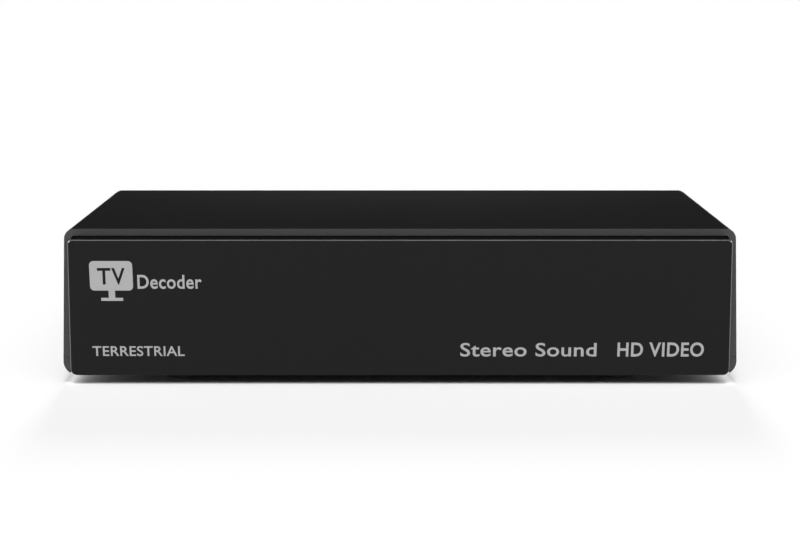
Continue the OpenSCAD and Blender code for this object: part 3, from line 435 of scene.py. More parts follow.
def block(bm, low, high, coat=0):
    """Adds a block between two corners, with the number of its finish."""
    low, high = Vector(low), Vector(high)
    place = Matrix.Translation((low + high) / 2) @ Matrix.Diagonal((high - low).to_4d())
    made = bmesh.ops.create_cube(bm, size=1, matrix=place)
    for face in {f for v in made["verts"] for f in v.link_faces}:
        face.material_index = coat


def plate(bm, outline, rise):
    """Adds a plate: a flat outline, raised by a vector."""
    floor = bm.faces.new([bm.verts.new(spot) for spot in outline])
    raised = bmesh.ops.extrude_face_region(bm, geom=[floor])["geom"]
    bmesh.ops.translate(bm, vec=rise, verts=[v for v in raised if isinstance(v, bmesh.types.BMVert)])
    bmesh.ops.recalc_face_normals(bm, faces=bm.faces)


def bridge(bm, rings):
    """Joins each ring of points to the next by faces."""
    for a, b in zip(rings, rings[1:]):
        for i in range(len(a)):
            j = (i + 1) % len(a)
            bm.faces.new([a[i], a[j], b[j], b[i]])


def evaluated_mesh(obj):
    """The plain mesh that an object's modifiers give."""
    bpy.context.view_layer.update()
    graph = bpy.context.evaluated_depsgraph_get()
    return bpy.data.meshes.new_from_object(obj.evaluated_get(graph), depsgraph=graph)


def new_tree(name, inputs):
    """A geometry tree with named inputs, and its input node."""
    tree = bpy.data.node_groups.new(name, "GeometryNodeTree")
    for label, kind in inputs.items():
        tree.interface.new_socket(name=label, in_out="INPUT", socket_type="NodeSocket" + kind)
    tree.interface.new_socket(name="Pieces", in_out="OUTPUT", socket_type="NodeSocketGeometry")
    return tree, add_node(tree, "NodeGroupInput")


def round_wire(tree, given, path, sides):
    """Draws wire of the given diameter along a path."""
    half = add_node(tree, "ShaderNodeMath", {"operation": "MULTIPLY", 1: 0.5}, {0: given.outputs["Wire"]})
    section = add_node(tree, "GeometryNodeCurvePrimitiveCircle", {"Resolution": sides}, {"Radius": half})
    return add_node(tree, "GeometryNodeCurveToMesh", {"Fill Caps": True},
                    {"Curve": path, "Profile Curve": section})


def close_tree(tree, given, points, shape, turn=None):
    """Ends a tree: the shape on every point, made real and given its finish."""
    links = {"Points": points, "Instance": shape}
    if turn:
        links["Rotation"] = turn
    copies = add_node(tree, "GeometryNodeInstanceOnPoints", {}, links)
    real = add_node(tree, "GeometryNodeRealizeInstances", {}, {0: copies})
    coated = add_node(tree, "GeometryNodeSetMaterial", {},
                      {"Geometry": real, "Material": given.outputs["Finish"]})
    add_node(tree, "NodeGroupOutput", {}, {0: coated})
    return tree


def marks_tree():
    """Sets one piece on every mark, turned by the mark's own angle."""
    tree, given = new_tree("pieces_at_marks", {"Marks": "Geometry", "Piece": "Object", "Finish": "Material"})
    piece = add_node(tree, "GeometryNodeObjectInfo", {}, {"Object": given.outputs["Piece"]})
    angle = add_node(tree, "GeometryNodeInputNamedAttribute", {"data_type": "FLOAT", "Name": "turn"})
    turn = add_node(tree, "ShaderNodeCombineXYZ", {}, {"Z": next(s for s in angle.outputs if s.enabled)})
    return close_tree(tree, given, given.outputs["Marks"], piece.outputs["Geometry"], turn)


def winding_tree():
    """Winds a coil of round wire at every mark."""
    tree, given = new_tree("wound_coils", {"Marks": "Geometry", "Turns": "Float", "Radius": "Float",
                                           "Height": "Float", "Wire": "Float", "Finish": "Material"})
    path = add_node(tree, "GeometryNodeCurveSpiral", {"Resolution": 20},
                    {"Rotations": given.outputs["Turns"], "Start Radius": given.outputs["Radius"],
                     "End Radius": given.outputs["Radius"], "Height": given.outputs["Height"]})
    return close_tree(tree, given, given.outputs["Marks"], round_wire(tree, given, path, 8))


def ribbon_tree():
    """Lays round wires side by side along one path."""
    tree, given = new_tree("wires_along_path", {"Path": "Geometry", "Count": "Int", "Pitch": "Float",
                                                "Wire": "Float", "Finish": "Material"})
    path = add_node(tree, "GeometryNodeMeshToCurve", {}, {0: given.outputs["Path"]})
    wire = round_wire(tree, given, path, 10)
    step = add_node(tree, "ShaderNodeCombineXYZ", {}, {"X": given.outputs["Pitch"]})
    row = add_node(tree, "GeometryNodeMeshLine", {}, {"Count": given.outputs["Count"], "Offset": step})
    return close_tree(tree, given, row, wire)


def grown(name, make_tree, marks, inputs, coat, nodes=(), turns=None, edges=()):
    """Runs a geometry tree on a set of marks and keeps the result as a plain mesh."""
    mesh = bpy.data.meshes.new(name)
    mesh.from_pydata([tuple(mark) for mark in marks], edges, [])
    mesh.attributes.new("turn", "FLOAT", "POINT").data.foreach_set("value", turns or [0.0] * len(marks))
    start = linked(name + "_marks", mesh)
    values = {**inputs, "Finish": finish(coat)}
    grow = start.modifiers.new("grow", "NODES")
    grow.node_group = make_tree()
    for item in grow.node_group.interface.items_tree:
        if item.in_out == "INPUT" and item.name in values:
            grow[item.identifier] = values[item.name]
    made = evaluated_mesh(start)
    start.modifiers.remove(grow)
    bpy.data.objects.remove(start)
    made.name = name
    shade(made)
    placed(name, made, [coat], nodes)


def set_out(name, bm, marks, coat, turns=None, nodes=(), edge=0.0):
    """Sets copies of one small piece on marks."""
    pattern = linked(name + "_pattern", to_mesh(name + "_pattern", bm))
    if edge:
        soften(pattern, edge, segments=1)
    grown(name, marks_tree, marks, {"Piece": pattern}, coat, nodes, turns)
    bpy.data.objects.remove(pattern)


def lettering(bm, words, height, place, thickness, align="LEFT", width=0.0, bold=0.0):
    """Adds flat words laid by a matrix: capitals of a given height, stretched to a width if one is given."""
    text = bpy.data.curves.new("words", "FONT")
    text.body = words
    text.size = height / CAPITAL
    text.align_x = align
    text.extrude = thickness / 2
    text.offset = bold
    text.space_character = 1 + BOLD_ROOM * bold / height
    text.resolution_u = 4
    holder = linked("words", text)
    mesh = evaluated_mesh(holder)
    if width:
        ends = [v.co.x for v in mesh.vertices]
        mesh.transform(Matrix.Translation((-min(ends), 0, 0)))
        mesh.transform(Matrix.Diagonal((width / (max(ends) - min(ends)), 1, 1, 1)))
    mesh.transform(place)
    bm.from_mesh(mesh)
    bpy.data.objects.remove(holder)
    bpy.data.curves.remove(text)
    bpy.data.meshes.remove(mesh)


class DECODER_OT_cover(bpy.types.Operator):
    """Build the lift-off cover"""
    bl_idname = "decoder.cover"
    bl_label = "Cover"

    def execute(self, context):
        edge = context.scene.decoder_case.cover_edge
        finished("cover_shell", "top_cover", edge, ["abs_eroded_cover"], body="cover")
        return {"FINISHED"}


class DECODER_OT_base(bpy.types.Operator):
    """Build the base tray and its rubber feet"""
    bl_idname = "decoder.base"
    bl_label = "Base and feet"

    def execute(self, context):
        case = context.scene.decoder_case
        # The rim is drawn up close below the cover, so that the seam is a fine line
        wall, widest_seam = 2 * MM, 0.25 * MM
        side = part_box("top_cover")[1].x - wall
        cover_foot = min(v.co.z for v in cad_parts["top_cover"].data.vertices if v.co.x > side)
        tray = merged("base_tray")
        for vert in tray.verts:
            if 0 < cover_foot - vert.co.z < widest_seam:
                vert.co.z = cover_foot - case.seam
        finished("base_shell", "base_tray", case.cover_edge, ["abs_eroded_base"], bm=tray)

        feet = ["foot_front_left", "foot_front_right", "foot_rear_left", "foot_rear_right"]
        low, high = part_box(feet[0])
        radius, height = (high.x - low.x) / 2, high.z
        dish = [(0, 0.35 * MM), (radius * 0.52, 0.35 * MM), (radius * 0.58, 0.05 * MM)]
        tread = [(radius * 0.66, 0), (radius - 0.75 * MM, 0), (radius - 0.25 * MM, 0.18 * MM)]
        upright = [(radius, 0.7 * MM), (radius, height), (0, height)]
        foot = bmesh.new()
        revolve(foot, dish + tread + upright, 40)
        spots = [middle(node).xy.to_3d() for node in feet]
        set_out("feet", foot, spots, "rubber_moulded", nodes=feet)
        return {"FINISHED"}


class DECODER_OT_front_panel(bpy.types.Operator):
    """Build the leaning front panel and its printed words"""
    bl_idname = "decoder.front_panel"
    bl_label = "Front panel"

    # Left end, foot, height, width and growth of the strokes of each word, in millimetres
    WORDS = (("Decoder", -64.6, 25.0, 3.7, 15.8, 0.08), ("TERRESTRIAL", -76.5, 7.5, 2.7, 22.9, 0.04),
             ("Stereo Sound", 15.0, 7.4, 3.7, 33.9, 0.06), ("HD VIDEO", 54.1, 7.4, 3.8, 21.5, 0.1))
    # The same of the bare letters on the screen of the sign, and the sign's middle
    LETTERS = (("T", -74.4, 26.1, 4.4, 3.3, 0.1), ("V", -70.9, 26.1, 4.4, 3.3, 0.1))
    SIGN = (-71.0, 26.9)

    def execute(self, context):
        case = context.scene.decoder_case
        ink = case.print_thickness
        bm = merged("front_panel")
        bm.normal_update()
        face = max((f for f in bm.faces if f.normal.y < -FACING), key=lambda f: f.calc_area())
        out = face.normal.copy()
        top = max(face.verts, key=lambda v: v.co.z).co.copy()
        # Faces that look up take the darker finish: painted shade on the ledge
        for each in bm.faces:
            each.material_index = 2 if each.normal.z > FACING else 0
        self.choose_edges(bm, face, case.lower_fade)
        coats = ["abs_satin_panel", "abs_burnished_edge", "abs_bare_ledge"]
        panel = placed("front_panel_face", bm, coats, ["front_panel"])
        # The chamfer round the front face takes the glossy, lighter finish: a painted highlight
        soften(panel, case.panel_edge, segments=1, chosen="bright_edges").material = 1
        soften(panel, case.panel_edge / 3, segments=1, chosen="plain_edges")

        # The print lies on the leaning face
        rise = Vector((0, out.z, -out.y))

        def lay(x, z):
            spot = top + rise * ((z * MM - top.z) / rise.z)
            spot += Vector((x * MM - spot.x, 0, 0)) + out * (ink / 2)
            return Matrix(((1, 0, 0, spot.x), (0, rise.y, out.y, spot.y), (0, rise.z, out.z, spot.z),
                           (0, 0, 0, 1)))

        words, letters = bmesh.new(), bmesh.new()
        for target, rows, thickness in ((words, self.WORDS, ink), (letters, self.LETTERS, ink * 1.5)):
            for text, x, z, height, width, bold in rows:
                lettering(target, text, height * MM, lay(x, z), thickness, width=width * MM, bold=bold * MM)
        self.television(words, lay(*self.SIGN), ink)
        placed("front_words", words, ["ink_pad_printed"])
        placed("front_bare_letters", letters, ["abs_satin_panel"])
        return {"FINISHED"}

    def choose_edges(self, bm, face, lower_fade):
        """Marks the edges round the face as bright, fading to its foot, and other sharp edges as plain."""
        foot = min(v.co.z for v in face.verts)
        faint = 0.05
        bright, plain = (bm.edges.layers.float.new(name) for name in ("bright_edges", "plain_edges"))
        for edge in bm.edges:
            if len(edge.link_faces) == 2 and edge.calc_face_angle(0) > CREASE:
                if face in edge.link_faces:
                    height = max(v.co.z for v in edge.verts) - foot
                    edge[bright] = min(1.0, height / lower_fade)
                if edge[bright] < faint:
                    edge[plain] = 1.0

    def television(self, bm, place, thickness):
        """Adds the plain sign for a television set: a rounded screen on a neck and a foot."""
        wide, low, high, corner, steps = 5.3, -2.5, 5.2, 1.1, 6
        half = [(0, -5.2), (2.7, -5.2), (2.7, -4.4), (0.8, -4.4), (0.8, low)]
        for z, start in ((low + corner, -math.pi / 2), (high - corner, 0)):
            turns = [start + i * math.pi / 2 / steps for i in range(steps + 1)]
            half += [(wide - corner + corner * math.cos(t), z + corner * math.sin(t)) for t in turns]
        half.append((0, high))
        outline = half + [(-x, z) for x, z in half[-2:0:-1]]
        spots = [place @ Vector((x * MM, z * MM, -thickness / 2)) for x, z in outline]
        plate(bm, spots, place.to_3x3() @ Vector((0, 0, thickness)))


class DECODER_OT_rear_panel(bpy.types.Operator):
    """Build the rear panel and the words beside its sockets"""
    bl_idname = "decoder.rear_panel"
    bl_label = "Rear panel"

    WORDS = {"antenna_in_shell": "ANT IN", "antenna_out_sleeve": "TV OUT", "data_socket_shell": "DATA",
             "video_socket_shell": "DIGITAL VIDEO", "av_socket_housing": "AUDIO VIDEO",
             "audio_socket_body": "AUDIO", "power_socket_body": "DC IN"}

    def execute(self, context):
        case = context.scene.decoder_case
        dress(("rear_panel_face", "rear_panel", 0.15, "abs_eroded_base", "base_plastic"))
        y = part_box("rear_panel")[1].y + case.print_thickness / 2
        gap = 1.3 * MM
        words = bmesh.new()
        for node, text in self.WORDS.items():
            x, z = middle(node).x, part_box(node)[1].z + gap
            lay = Matrix(((-1, 0, 0, x), (0, 0, 1, y), (0, 1, 0, z), (0, 0, 0, 1)))
            lettering(words, text, case.rear_print, lay, case.print_thickness, "CENTER")
        placed("rear_words", words, ["ink_pad_printed"])
        return {"FINISHED"}


class DECODER_OT_screws(bpy.types.Operator):
    """Build the cross-head screws of the case and the boards"""
    bl_idname = "decoder.screws"
    bl_label = "Screws"

    # Turn about X, height of the head and radius of the shank
    SETS = {"case_screws": (math.pi, 2.0 * MM, 1.5 * MM), "board_screws": (0, 1.6 * MM, 1.25 * MM),
            "front_board_screws": (-math.pi / 2, 1.4 * MM, 1.0 * MM)}

    def execute(self, context):
        for node, (turned, head, shank) in self.SETS.items():
            boxes = islands(node)
            size = boxes[0][1] - boxes[0][0]
            along = max(size)
            tilt = Matrix.Rotation(turned, 4, "X")
            to_head = tilt @ Vector((0, 0, 1))
            marks = [(low + high) / 2 + to_head * (along / 2 - head) for low, high in boxes]
            screw = self.screw(size.x / 2, head, shank, along - head, tilt)
            set_out(node + "_set", screw, marks, "steel_zinc_plated", nodes=[node])
        return {"FINISHED"}

    def screw(self, wide, head, shank, reach, tilt):
        """One pan-head screw: its seat at the origin, a threaded shank below and a cross cut in its head."""
        pitch, crest, root = 0.5 * MM, 0.22 * MM, shank * 0.8
        thread = [(0, -reach), (shank * 0.45, -reach)]
        for i in range(int(reach / pitch) - 2):
            z = -reach + (i + 1) * pitch
            thread += [(root, z), (shank, z + crest)]
        seat = [(root, -pitch), (shank, -0.1 * MM), (shank, 0), (wide * 0.97, 0)]
        dome = ((1, 0.08), (1, 0.4), (0.95, 0.66), (0.8, 0.87), (0.55, 0.97), (0, 1))
        bm = bmesh.new()
        revolve(bm, thread + seat + [(wide * x, head * z) for x, z in dome], 28)
        body = linked("screw_body", to_mesh("screw_body", bm))

        # A quarter of the cross, turned round four times
        arm, half = 0.58 * wide, 0.14 * wide
        quarter, outline = [(half, half), (half, arm), (-half, arm)], []
        for _ in range(4):
            outline += [(x, y, 0.45 * head) for x, y in quarter]
            quarter = [(-y, x) for x, y in quarter]
        cross = bmesh.new()
        plate(cross, outline, (0, 0, head))
        cutter = linked("screw_cross", to_mesh("screw_cross", cross))
        cut = body.modifiers.new("cross", "BOOLEAN")
        cut.object = cutter
        cut.operation = "DIFFERENCE"
        mesh = evaluated_mesh(body)
        mesh.transform(tilt)
        made = bmesh.new()
        made.from_mesh(mesh)
        bpy.data.objects.remove(body)
        bpy.data.objects.remove(cutter)
        return made


class DECODER_OT_boards(bpy.types.Operator):
    """Build the two circuit boards and the legend printed on the main one"""
    bl_idname = "decoder.boards"
    bl_label = "Circuit boards"

    NAMES = {"memory_chip": "U2", "flash_chip": "U3", "crystal": "X1", "board_header": "J1",
             "tuner_frame": "TUNER", "heatsink": "U1", "av_socket_housing": "J2", "audio_socket_body": "J5",
             "power_socket_body": "J6", "video_socket_shell": "J3", "data_socket_shell": "J4"}
    NUMBERED = {"power_inductors": "L", "voltage_regulators": "V", "electrolytic_capacitors": "C"}
    # Room inside a printed frame beside its part, in front of it and behind it, in millimetres
    FRAMES = {"memory_chip": (1.3, 0.6, 0.6), "flash_chip": (0.6, 0.6, 0.6), "board_header": (0.6, 0.6, 0.6),
              "power_inductors": (0.4, 0.4, 0.4), "voltage_regulators": (0.4, 1.7, 0.4)}
    INK = 0.02 * MM

    def execute(self, context):
        laminate("laminate_masked", upright=False)
        laminate("laminate_masked_upright", upright=True)
        dress(("main_board_laminate", "main_board", 0.12, "laminate_masked", "circuit_board"),
              ("front_board_laminate", "front_board", 0.12, "laminate_masked_upright", "circuit_board"))
        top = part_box("main_board")[1].z
        level = top + self.INK / 2
        name_drop, name_height, number_gap, number_height = 2.3 * MM, 1.3 * MM, 0.7 * MM, 1.2 * MM
        legend = bmesh.new()
        for node, text in self.NAMES.items():
            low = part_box(node)[0]
            lay = Matrix.Translation((low.x, low.y - name_drop, level))
            lettering(legend, text, name_height, lay, self.INK)
        for node, letter in self.NUMBERED.items():
            for number, (low, high) in enumerate(islands(node), 1):
                lay = Matrix.Translation((high.x + number_gap, low.y, level))
                lettering(legend, letter + str(number), number_height, lay, self.INK)
        for node, (beside, front, back) in self.FRAMES.items():
            for low, high in islands(node):
                before, behind = Vector((beside, front)) * MM, Vector((beside, back)) * MM
                self.outline(legend, low.xy - before, high.xy + behind, top)
        placed("board_legend", legend, ["ink_screen_printed"])
        return {"FINISHED"}

    def outline(self, bm, low, high, top):
        """Adds a printed frame on the board."""
        line = 0.16 * MM
        rings = []
        for inset, z in ((0, top), (0, top + self.INK), (line, top + self.INK), (line, top)):
            left, right, front, back = low.x + inset, high.x - inset, low.y + inset, high.y - inset
            spots = ((left, front), (right, front), (right, back), (left, back))
            rings.append([bm.verts.new((x, y, z)) for x, y in spots])
        bridge(bm, rings + rings[:1])


class DECODER_OT_chips(bpy.types.Operator):
    """Build the chips with their leads, the heatsink and its pad"""
    bl_idname = "decoder.chips"
    bl_label = "Chips and heatsink"

    def execute(self, context):
        look = context.scene.decoder_board
        # Small faces close to the board are bare metal
        tab_top, tab_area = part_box("main_board")[1].z + 0.6 * MM, 7 * MM * MM

        def tab(face):
            return int(max(v.co.z for v in face.verts) < tab_top and face.calc_area() < tab_area)

        for node in ("processor", "memory_chip", "tuner_chip"):
            finished(node + "_case", node, 0.14 * MM, ["epoxy_moulded"])
        for node in ("flash_chip", "voltage_regulators"):
            finished(node + "_case", node, 0.08 * MM, ["epoxy_moulded", "tin_dipped"], pick=tab)
        dress(("crystal_can", "crystal", 0.45, "tinplate_rolled", "tinplate"),
              ("pad_under_heatsink", "thermal_pad", 0.08, "silicone_filled", "pad_silicone"),
              ("heatsink_fins", "heatsink", 0.18, "aluminium_extruded", "sink_aluminium"))

        # Leads stand on the board round their chips. Sides are numbered clockwise from the rear.
        every_side = (0, 1, 2, 3)
        chips = {"processor": every_side, "memory_chip": (1, 3), "tuner_chip": every_side}
        self.leads("chip_leads", [(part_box(node), sides) for node, sides in chips.items()],
                   look.lead_pitch, look.lead_width, look.lead_reach)
        self.leads("regulator_leads", [(box, (2,)) for box in islands("voltage_regulators")],
                   pitch=2.3 * MM, width=0.7 * MM, reach=1.3 * MM)

        # One round dot in a corner of each chip shows its first lead
        dot = bmesh.new()
        inset, thick = 1.5 * MM, 0.015 * MM
        revolve(dot, [(0, 0), (0.55 * MM, 0), (0.5 * MM, thick), (0, thick)], 16)
        boxes = [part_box(node) for node in ("memory_chip", "tuner_chip")]
        spots = [Vector((low.x + inset, low.y + inset, high.z)) for low, high in boxes]
        set_out("chip_dots", dot, spots, "ink_screen_printed")
        return {"FINISHED"}

    def leads(self, name, chips, pitch, width, reach):
        """Sets out leads along the sides of chips."""
        bare_ends = 1.4 * MM
        marks, turns = [], []
        for (low, high), sides in chips:
            centre, half = (low + high) / 2, (high - low) / 2
            for side in sides:
                turn = -side * math.pi / 2
                out = Vector((-math.sin(turn), math.cos(turn), 0))
                along = Vector((out.y, -out.x, 0))
                depth, run = (half.x, half.y) if side % 2 else (half.y, half.x)
                count = int((2 * run - bare_ends) / pitch) + 1
                for i in range(count):
                    spot = centre + out * depth + along * (i - (count - 1) / 2) * pitch
                    marks.append(Vector((spot.x, spot.y, low.z)))
                    turns.append(turn)
        set_out(name, self.lead(width, reach), marks, "tin_dipped", turns)

    def lead(self, width, reach):
        """One gull-wing lead that leaves its chip along +Y and stands on the board."""
        half, thick, shoulder, sole = width / 2, 0.14 * MM, 0.62 * MM, 0.02 * MM
        path = [(-0.2 * MM, shoulder), (0.22 * reach, shoulder), (0.45 * reach, sole), (reach, sole)]
        bm = bmesh.new()
        rings = []
        for i, under in enumerate(path):
            way = (Vector(path[min(i + 1, len(path) - 1)]) - Vector(path[max(i - 1, 0)])).normalized()
            over = Vector(under) + Vector((-way.y, way.x)) * thick
            section = ((-half, under), (half, under), (half, over), (-half, over))
            rings.append([bm.verts.new((x, *spot)) for x, spot in section])
        bridge(bm, rings)
        bm.faces.new(rings[0][::-1])
        bm.faces.new(rings[-1])
        bmesh.ops.recalc_face_normals(bm, faces=bm.faces)
        return bm


class DECODER_OT_passives(bpy.types.Operator):
    """Build the capacitors, the inductors and the small chip parts"""
    bl_idname = "decoder.passives"
    bl_label = "Capacitors and inductors"

    def execute(self, context):
        cans = bmesh.new()
        for box in islands("electrolytic_capacitors"):
            self.capacitor(cans, box)
        coats = ["vinyl_shrunk", "aluminium_drawn", "vinyl_stripe", "pbt_black"]
        placed("capacitor_cans", cans, coats, ["electrolytic_capacitors"])
        self.inductors(context.scene.decoder_board)

        boxes = islands("chip_passives")
        marks = [stand(box) for box in boxes]
        size = boxes[0][1] - boxes[0][0]
        half, cap, inset = size / 2, size.x * 0.2, 0.03 * MM
        bodies = bmesh.new()
        block(bodies, (cap - half.x, inset - half.y, inset), (half.x - cap, half.y - inset, size.z - inset))
        set_out("chip_part_bodies", bodies, marks, "ceramic_fired", nodes=["chip_passives"])
        caps = bmesh.new()
        block(caps, (-half.x, -half.y, 0), (cap - half.x, half.y, size.z))
        block(caps, (half.x - cap, -half.y, 0), (half.x, half.y, size.z))
        set_out("chip_part_caps", caps, marks, "tin_dipped", edge=0.06 * MM)
        return {"FINISHED"}

    def inductors(self, look):
        """Sets out drum cores on square feet and winds their wire."""
        boxes = islands("power_inductors")
        marks = [stand(box) for box in boxes]
        size = boxes[0][1] - boxes[0][0]
        half, foot, flange, top = size.x / 2, 0.75 * MM, size.z - 0.8 * MM, size.z
        drum = half - 0.5 * MM
        neck, root = drum * 0.62, 0.7 * MM
        cores = bmesh.new()
        spool = [(0, root), (neck, root), (neck, flange), (drum * 0.98, flange)]
        rim = [(drum, top - 0.7 * MM), (drum, top - 0.15 * MM), (drum - 0.15 * MM, top), (0, top)]
        revolve(cores, spool + rim, 32)
        block(cores, (-half, -half, 0), (half, half, foot))
        set_out("inductor_cores", cores, marks, "ferrite_sintered", nodes=["power_inductors"],
                edge=0.08 * MM)
        starts = [mark + Vector((0, 0, foot + look.wire / 2)) for mark in marks]
        sizes = {"Turns": float(look.winding_turns), "Radius": drum - 0.35 * MM,
                 "Height": flange - foot - look.wire, "Wire": look.wire}
        grown("inductor_windings", winding_tree, starts, sizes, "copper_enamelled")

    def capacitor(self, bm, box):
        """Adds a can with a crimped foot, a sleeve rolled over its shoulder, a stripe and a scored top."""
        low, high = box
        radius, height, centre = (high.x - low.x) / 2, high.z - low.z, stand(box)
        sunk, score, score_end, score_height = 0.14 * MM, 0.07 * MM, 1.3 * MM, 0.02 * MM
        sleeve, bare, stripe, black, stripe_steps = 0, 1, 2, 3, 5
        # How far in from the wall, and how far above the foot or below the top, in millimetres
        lower = ((0.3, 0), (0, 0.3), (0, 1.9), (0.3, 2.2), (0.3, 2.4), (0, 2.7))
        upper = ((0, 0.6), (0.2, 0.15), (0.5, 0), (0.8, 0.03), (0.85, 0.14))
        profile = [(0, 0)] + [(radius - a * MM, b * MM) for a, b in lower]
        profile += [(radius - a * MM, height - b * MM) for a, b in upper] + [(0, height - sunk)]

        def wall(step):
            return stripe if step < stripe_steps else sleeve

        revolve(bm, profile, 40, centre, [black] * 2 + [wall] * 7 + [sleeve] + [bare] * 2)
        floor = high.z - sunk
        for way in (Vector((1, 0)), Vector((0, 1))):
            half = way * (radius - score_end) + way.yx * score
            block(bm, (*(centre.xy - half), floor), (*(centre.xy + half), floor + score_height), black)


class DECODER_OT_tuner(bpy.types.Operator):
    """Build the tuner can and the two antenna sockets"""
    bl_idname = "decoder.tuner"
    bl_label = "Tuner and antenna sockets"

    def execute(self, context):
        dress(("tuner_can_frame", "tuner_frame", 0.1, "tinplate_rolled", "tinplate"),
              ("tuner_can_lid", "tuner_lid", 0.25, "tinplate_rolled", "tinplate"))
        # Two rows of five dimples, with radius and height in millimetres
        profile = ((0, 0), (1.0, 0), (0.85, 0.1), (0.5, 0.18), (0, 0.2))
        dimple = bmesh.new()
        revolve(dimple, [(radius * MM, height * MM) for radius, height in profile], 20)
        low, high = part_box("tuner_lid")
        size, count = high - low, 5
        marks = [Vector((low.x + size.x * (i + 0.5) / count, low.y + size.y * row, high.z))
                 for i in range(count) for row in (1 / 6, 5 / 6)]
        set_out("tuner_lid_dimples", dimple, marks, "tinplate_rolled")
        dress(("antenna_in_tube", "antenna_in_shell", 0.2, "nickel_plated", "plated_shell"),
              ("antenna_in_disc", "antenna_in_insulator", 0.1, "pbt_white", "white_insulator"),
              ("antenna_in_socket", "antenna_in_contact", 0.15, "brass_gilded", "contact_brass"),
              ("antenna_out_tube", "antenna_out_sleeve", 0.15, "nickel_plated", "plated_shell"),
              ("antenna_out_disc", "antenna_out_insulator", 0.1, "pbt_white", "white_insulator"),
              ("antenna_out_plug", "antenna_out_pin", 0.45, "brass_gilded", "contact_brass"))
        return {"FINISHED"}


class DECODER_OT_sockets(bpy.types.Operator):
    """Build the video, data, audio and power sockets"""
    bl_idname = "decoder.sockets"
    bl_label = "Rear sockets"

    def execute(self, context):
        dress(("av_housing", "av_socket_housing", 0.3, "pbt_black", "socket_plastic"),
              ("av_carrier", "av_socket_insert", 0.15, "pbt_black", "socket_plastic"),
              ("av_blades", "av_socket_contacts", 0.12, "brass_gilded", "contact_brass"),
              ("video_shell", "video_socket_shell", 0.12, "tinplate_rolled", "tinplate"),
              ("video_tongue", "video_socket_tongue", 0.15, "pbt_black", "socket_plastic"),
              ("data_shell", "data_socket_shell", 0.12, "tinplate_rolled", "tinplate"),
              ("data_tongue", "data_socket_tongue", 0.2, "pbt_white", "white_insulator"),
              ("audio_block", "audio_socket_body", 0.3, "pbt_black", "socket_plastic"),
              ("audio_barrel", "audio_socket_barrel", 0.18, "nickel_plated", "plated_shell"),
              ("audio_core", "audio_socket_insulator", 0.2, "polypropylene_orange", "orange_insulator"),
              ("power_block", "power_socket_body", 0.25, "pbt_black", "socket_plastic"),
              ("power_pin", "power_socket_pin", 0.3, "nickel_plated", "plated_shell"))

        # Contacts stand a little proud of their tongue, on top of it or below it
        thick, proud, near, far = 0.08 * MM, 0.06 * MM, 0.7 * MM, 7 * MM
        tongues = (("video_contacts", "video_socket_tongue", 10, 1.0 * MM, 0.45 * MM, False),
                   ("data_contacts", "data_socket_tongue", 4, 2.3 * MM, 1.0 * MM, True))
        for name, node, count, pitch, wide, below in tongues:
            low, high = end_face(node)
            strip = bmesh.new()
            block(strip, (-wide / 2, -far, 0), (wide / 2, -near, thick))
            level = low.z - proud if below else high.z + proud - thick
            first = (low.x + high.x) / 2 - (count - 1) / 2 * pitch
            marks = [Vector((first + i * pitch, high.y, level)) for i in range(count)]
            set_out(name, strip, marks, "brass_gilded")
        return {"FINISHED"}


class DECODER_OT_front_board(bpy.types.Operator):
    """Build what the front board carries and the ribbon that feeds it"""
    bl_idname = "decoder.front_board"
    bl_label = "Front board parts"

    def execute(self, context):
        dress(("receiver_block", "ir_receiver", 0.15, "resin_infrared", "receiver_resin"),
              ("lamp_bulb", "status_led", 0.4, "resin_clear", "clear_resin"),
              ("lamp_guide", "light_guide", 0.2, "resin_clear", "clear_resin"),
              ("front_plug", "front_header", 0.2, "pbt_white", "white_insulator"),
              ("board_plug", "board_header", 0.2, "pbt_white", "white_insulator"))

        # The ribbon leaves the front plug level and drops into the other from above
        start, end = middle("front_header"), middle("board_header")
        start.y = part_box("front_header")[1].y
        end.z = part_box("board_header")[1].z
        reach = end.y - start.y
        handles = [start, start + Vector((0, 0.55, 0.2)) * reach, end + Vector((0, 0, 0.7)) * reach, end]
        count, width, wire, steps = context.scene.decoder_board.ribbon_wires, 6.1 * MM, 0.88 * MM, 32
        pitch = width / (count - 1)
        path = []
        for i in range(steps + 1):
            t = i / steps
            share = ((1 - t) ** 3, 3 * t * (1 - t) ** 2, 3 * t * t * (1 - t), t ** 3)
            path.append(sum((h * s for h, s in zip(handles, share)), Vector((-width / 2, 0, 0))))
        edges = [(i, i + 1) for i in range(steps)]
        for name, first, wires, coat, nodes in (
                ("ribbon_wires", 0, count - 1, "vinyl_ribbon", ["ribbon_cable"]),
                ("ribbon_marked_wire", count - 1, 1, "vinyl_marked", [])):
            marks = [spot + Vector((first * pitch, 0, 0)) for spot in path]
            sizes = {"Count": wires, "Pitch": pitch, "Wire": wire}
            grown(name, ribbon_tree, marks, sizes, coat, nodes, edges=edges)
        return {"FINISHED"}


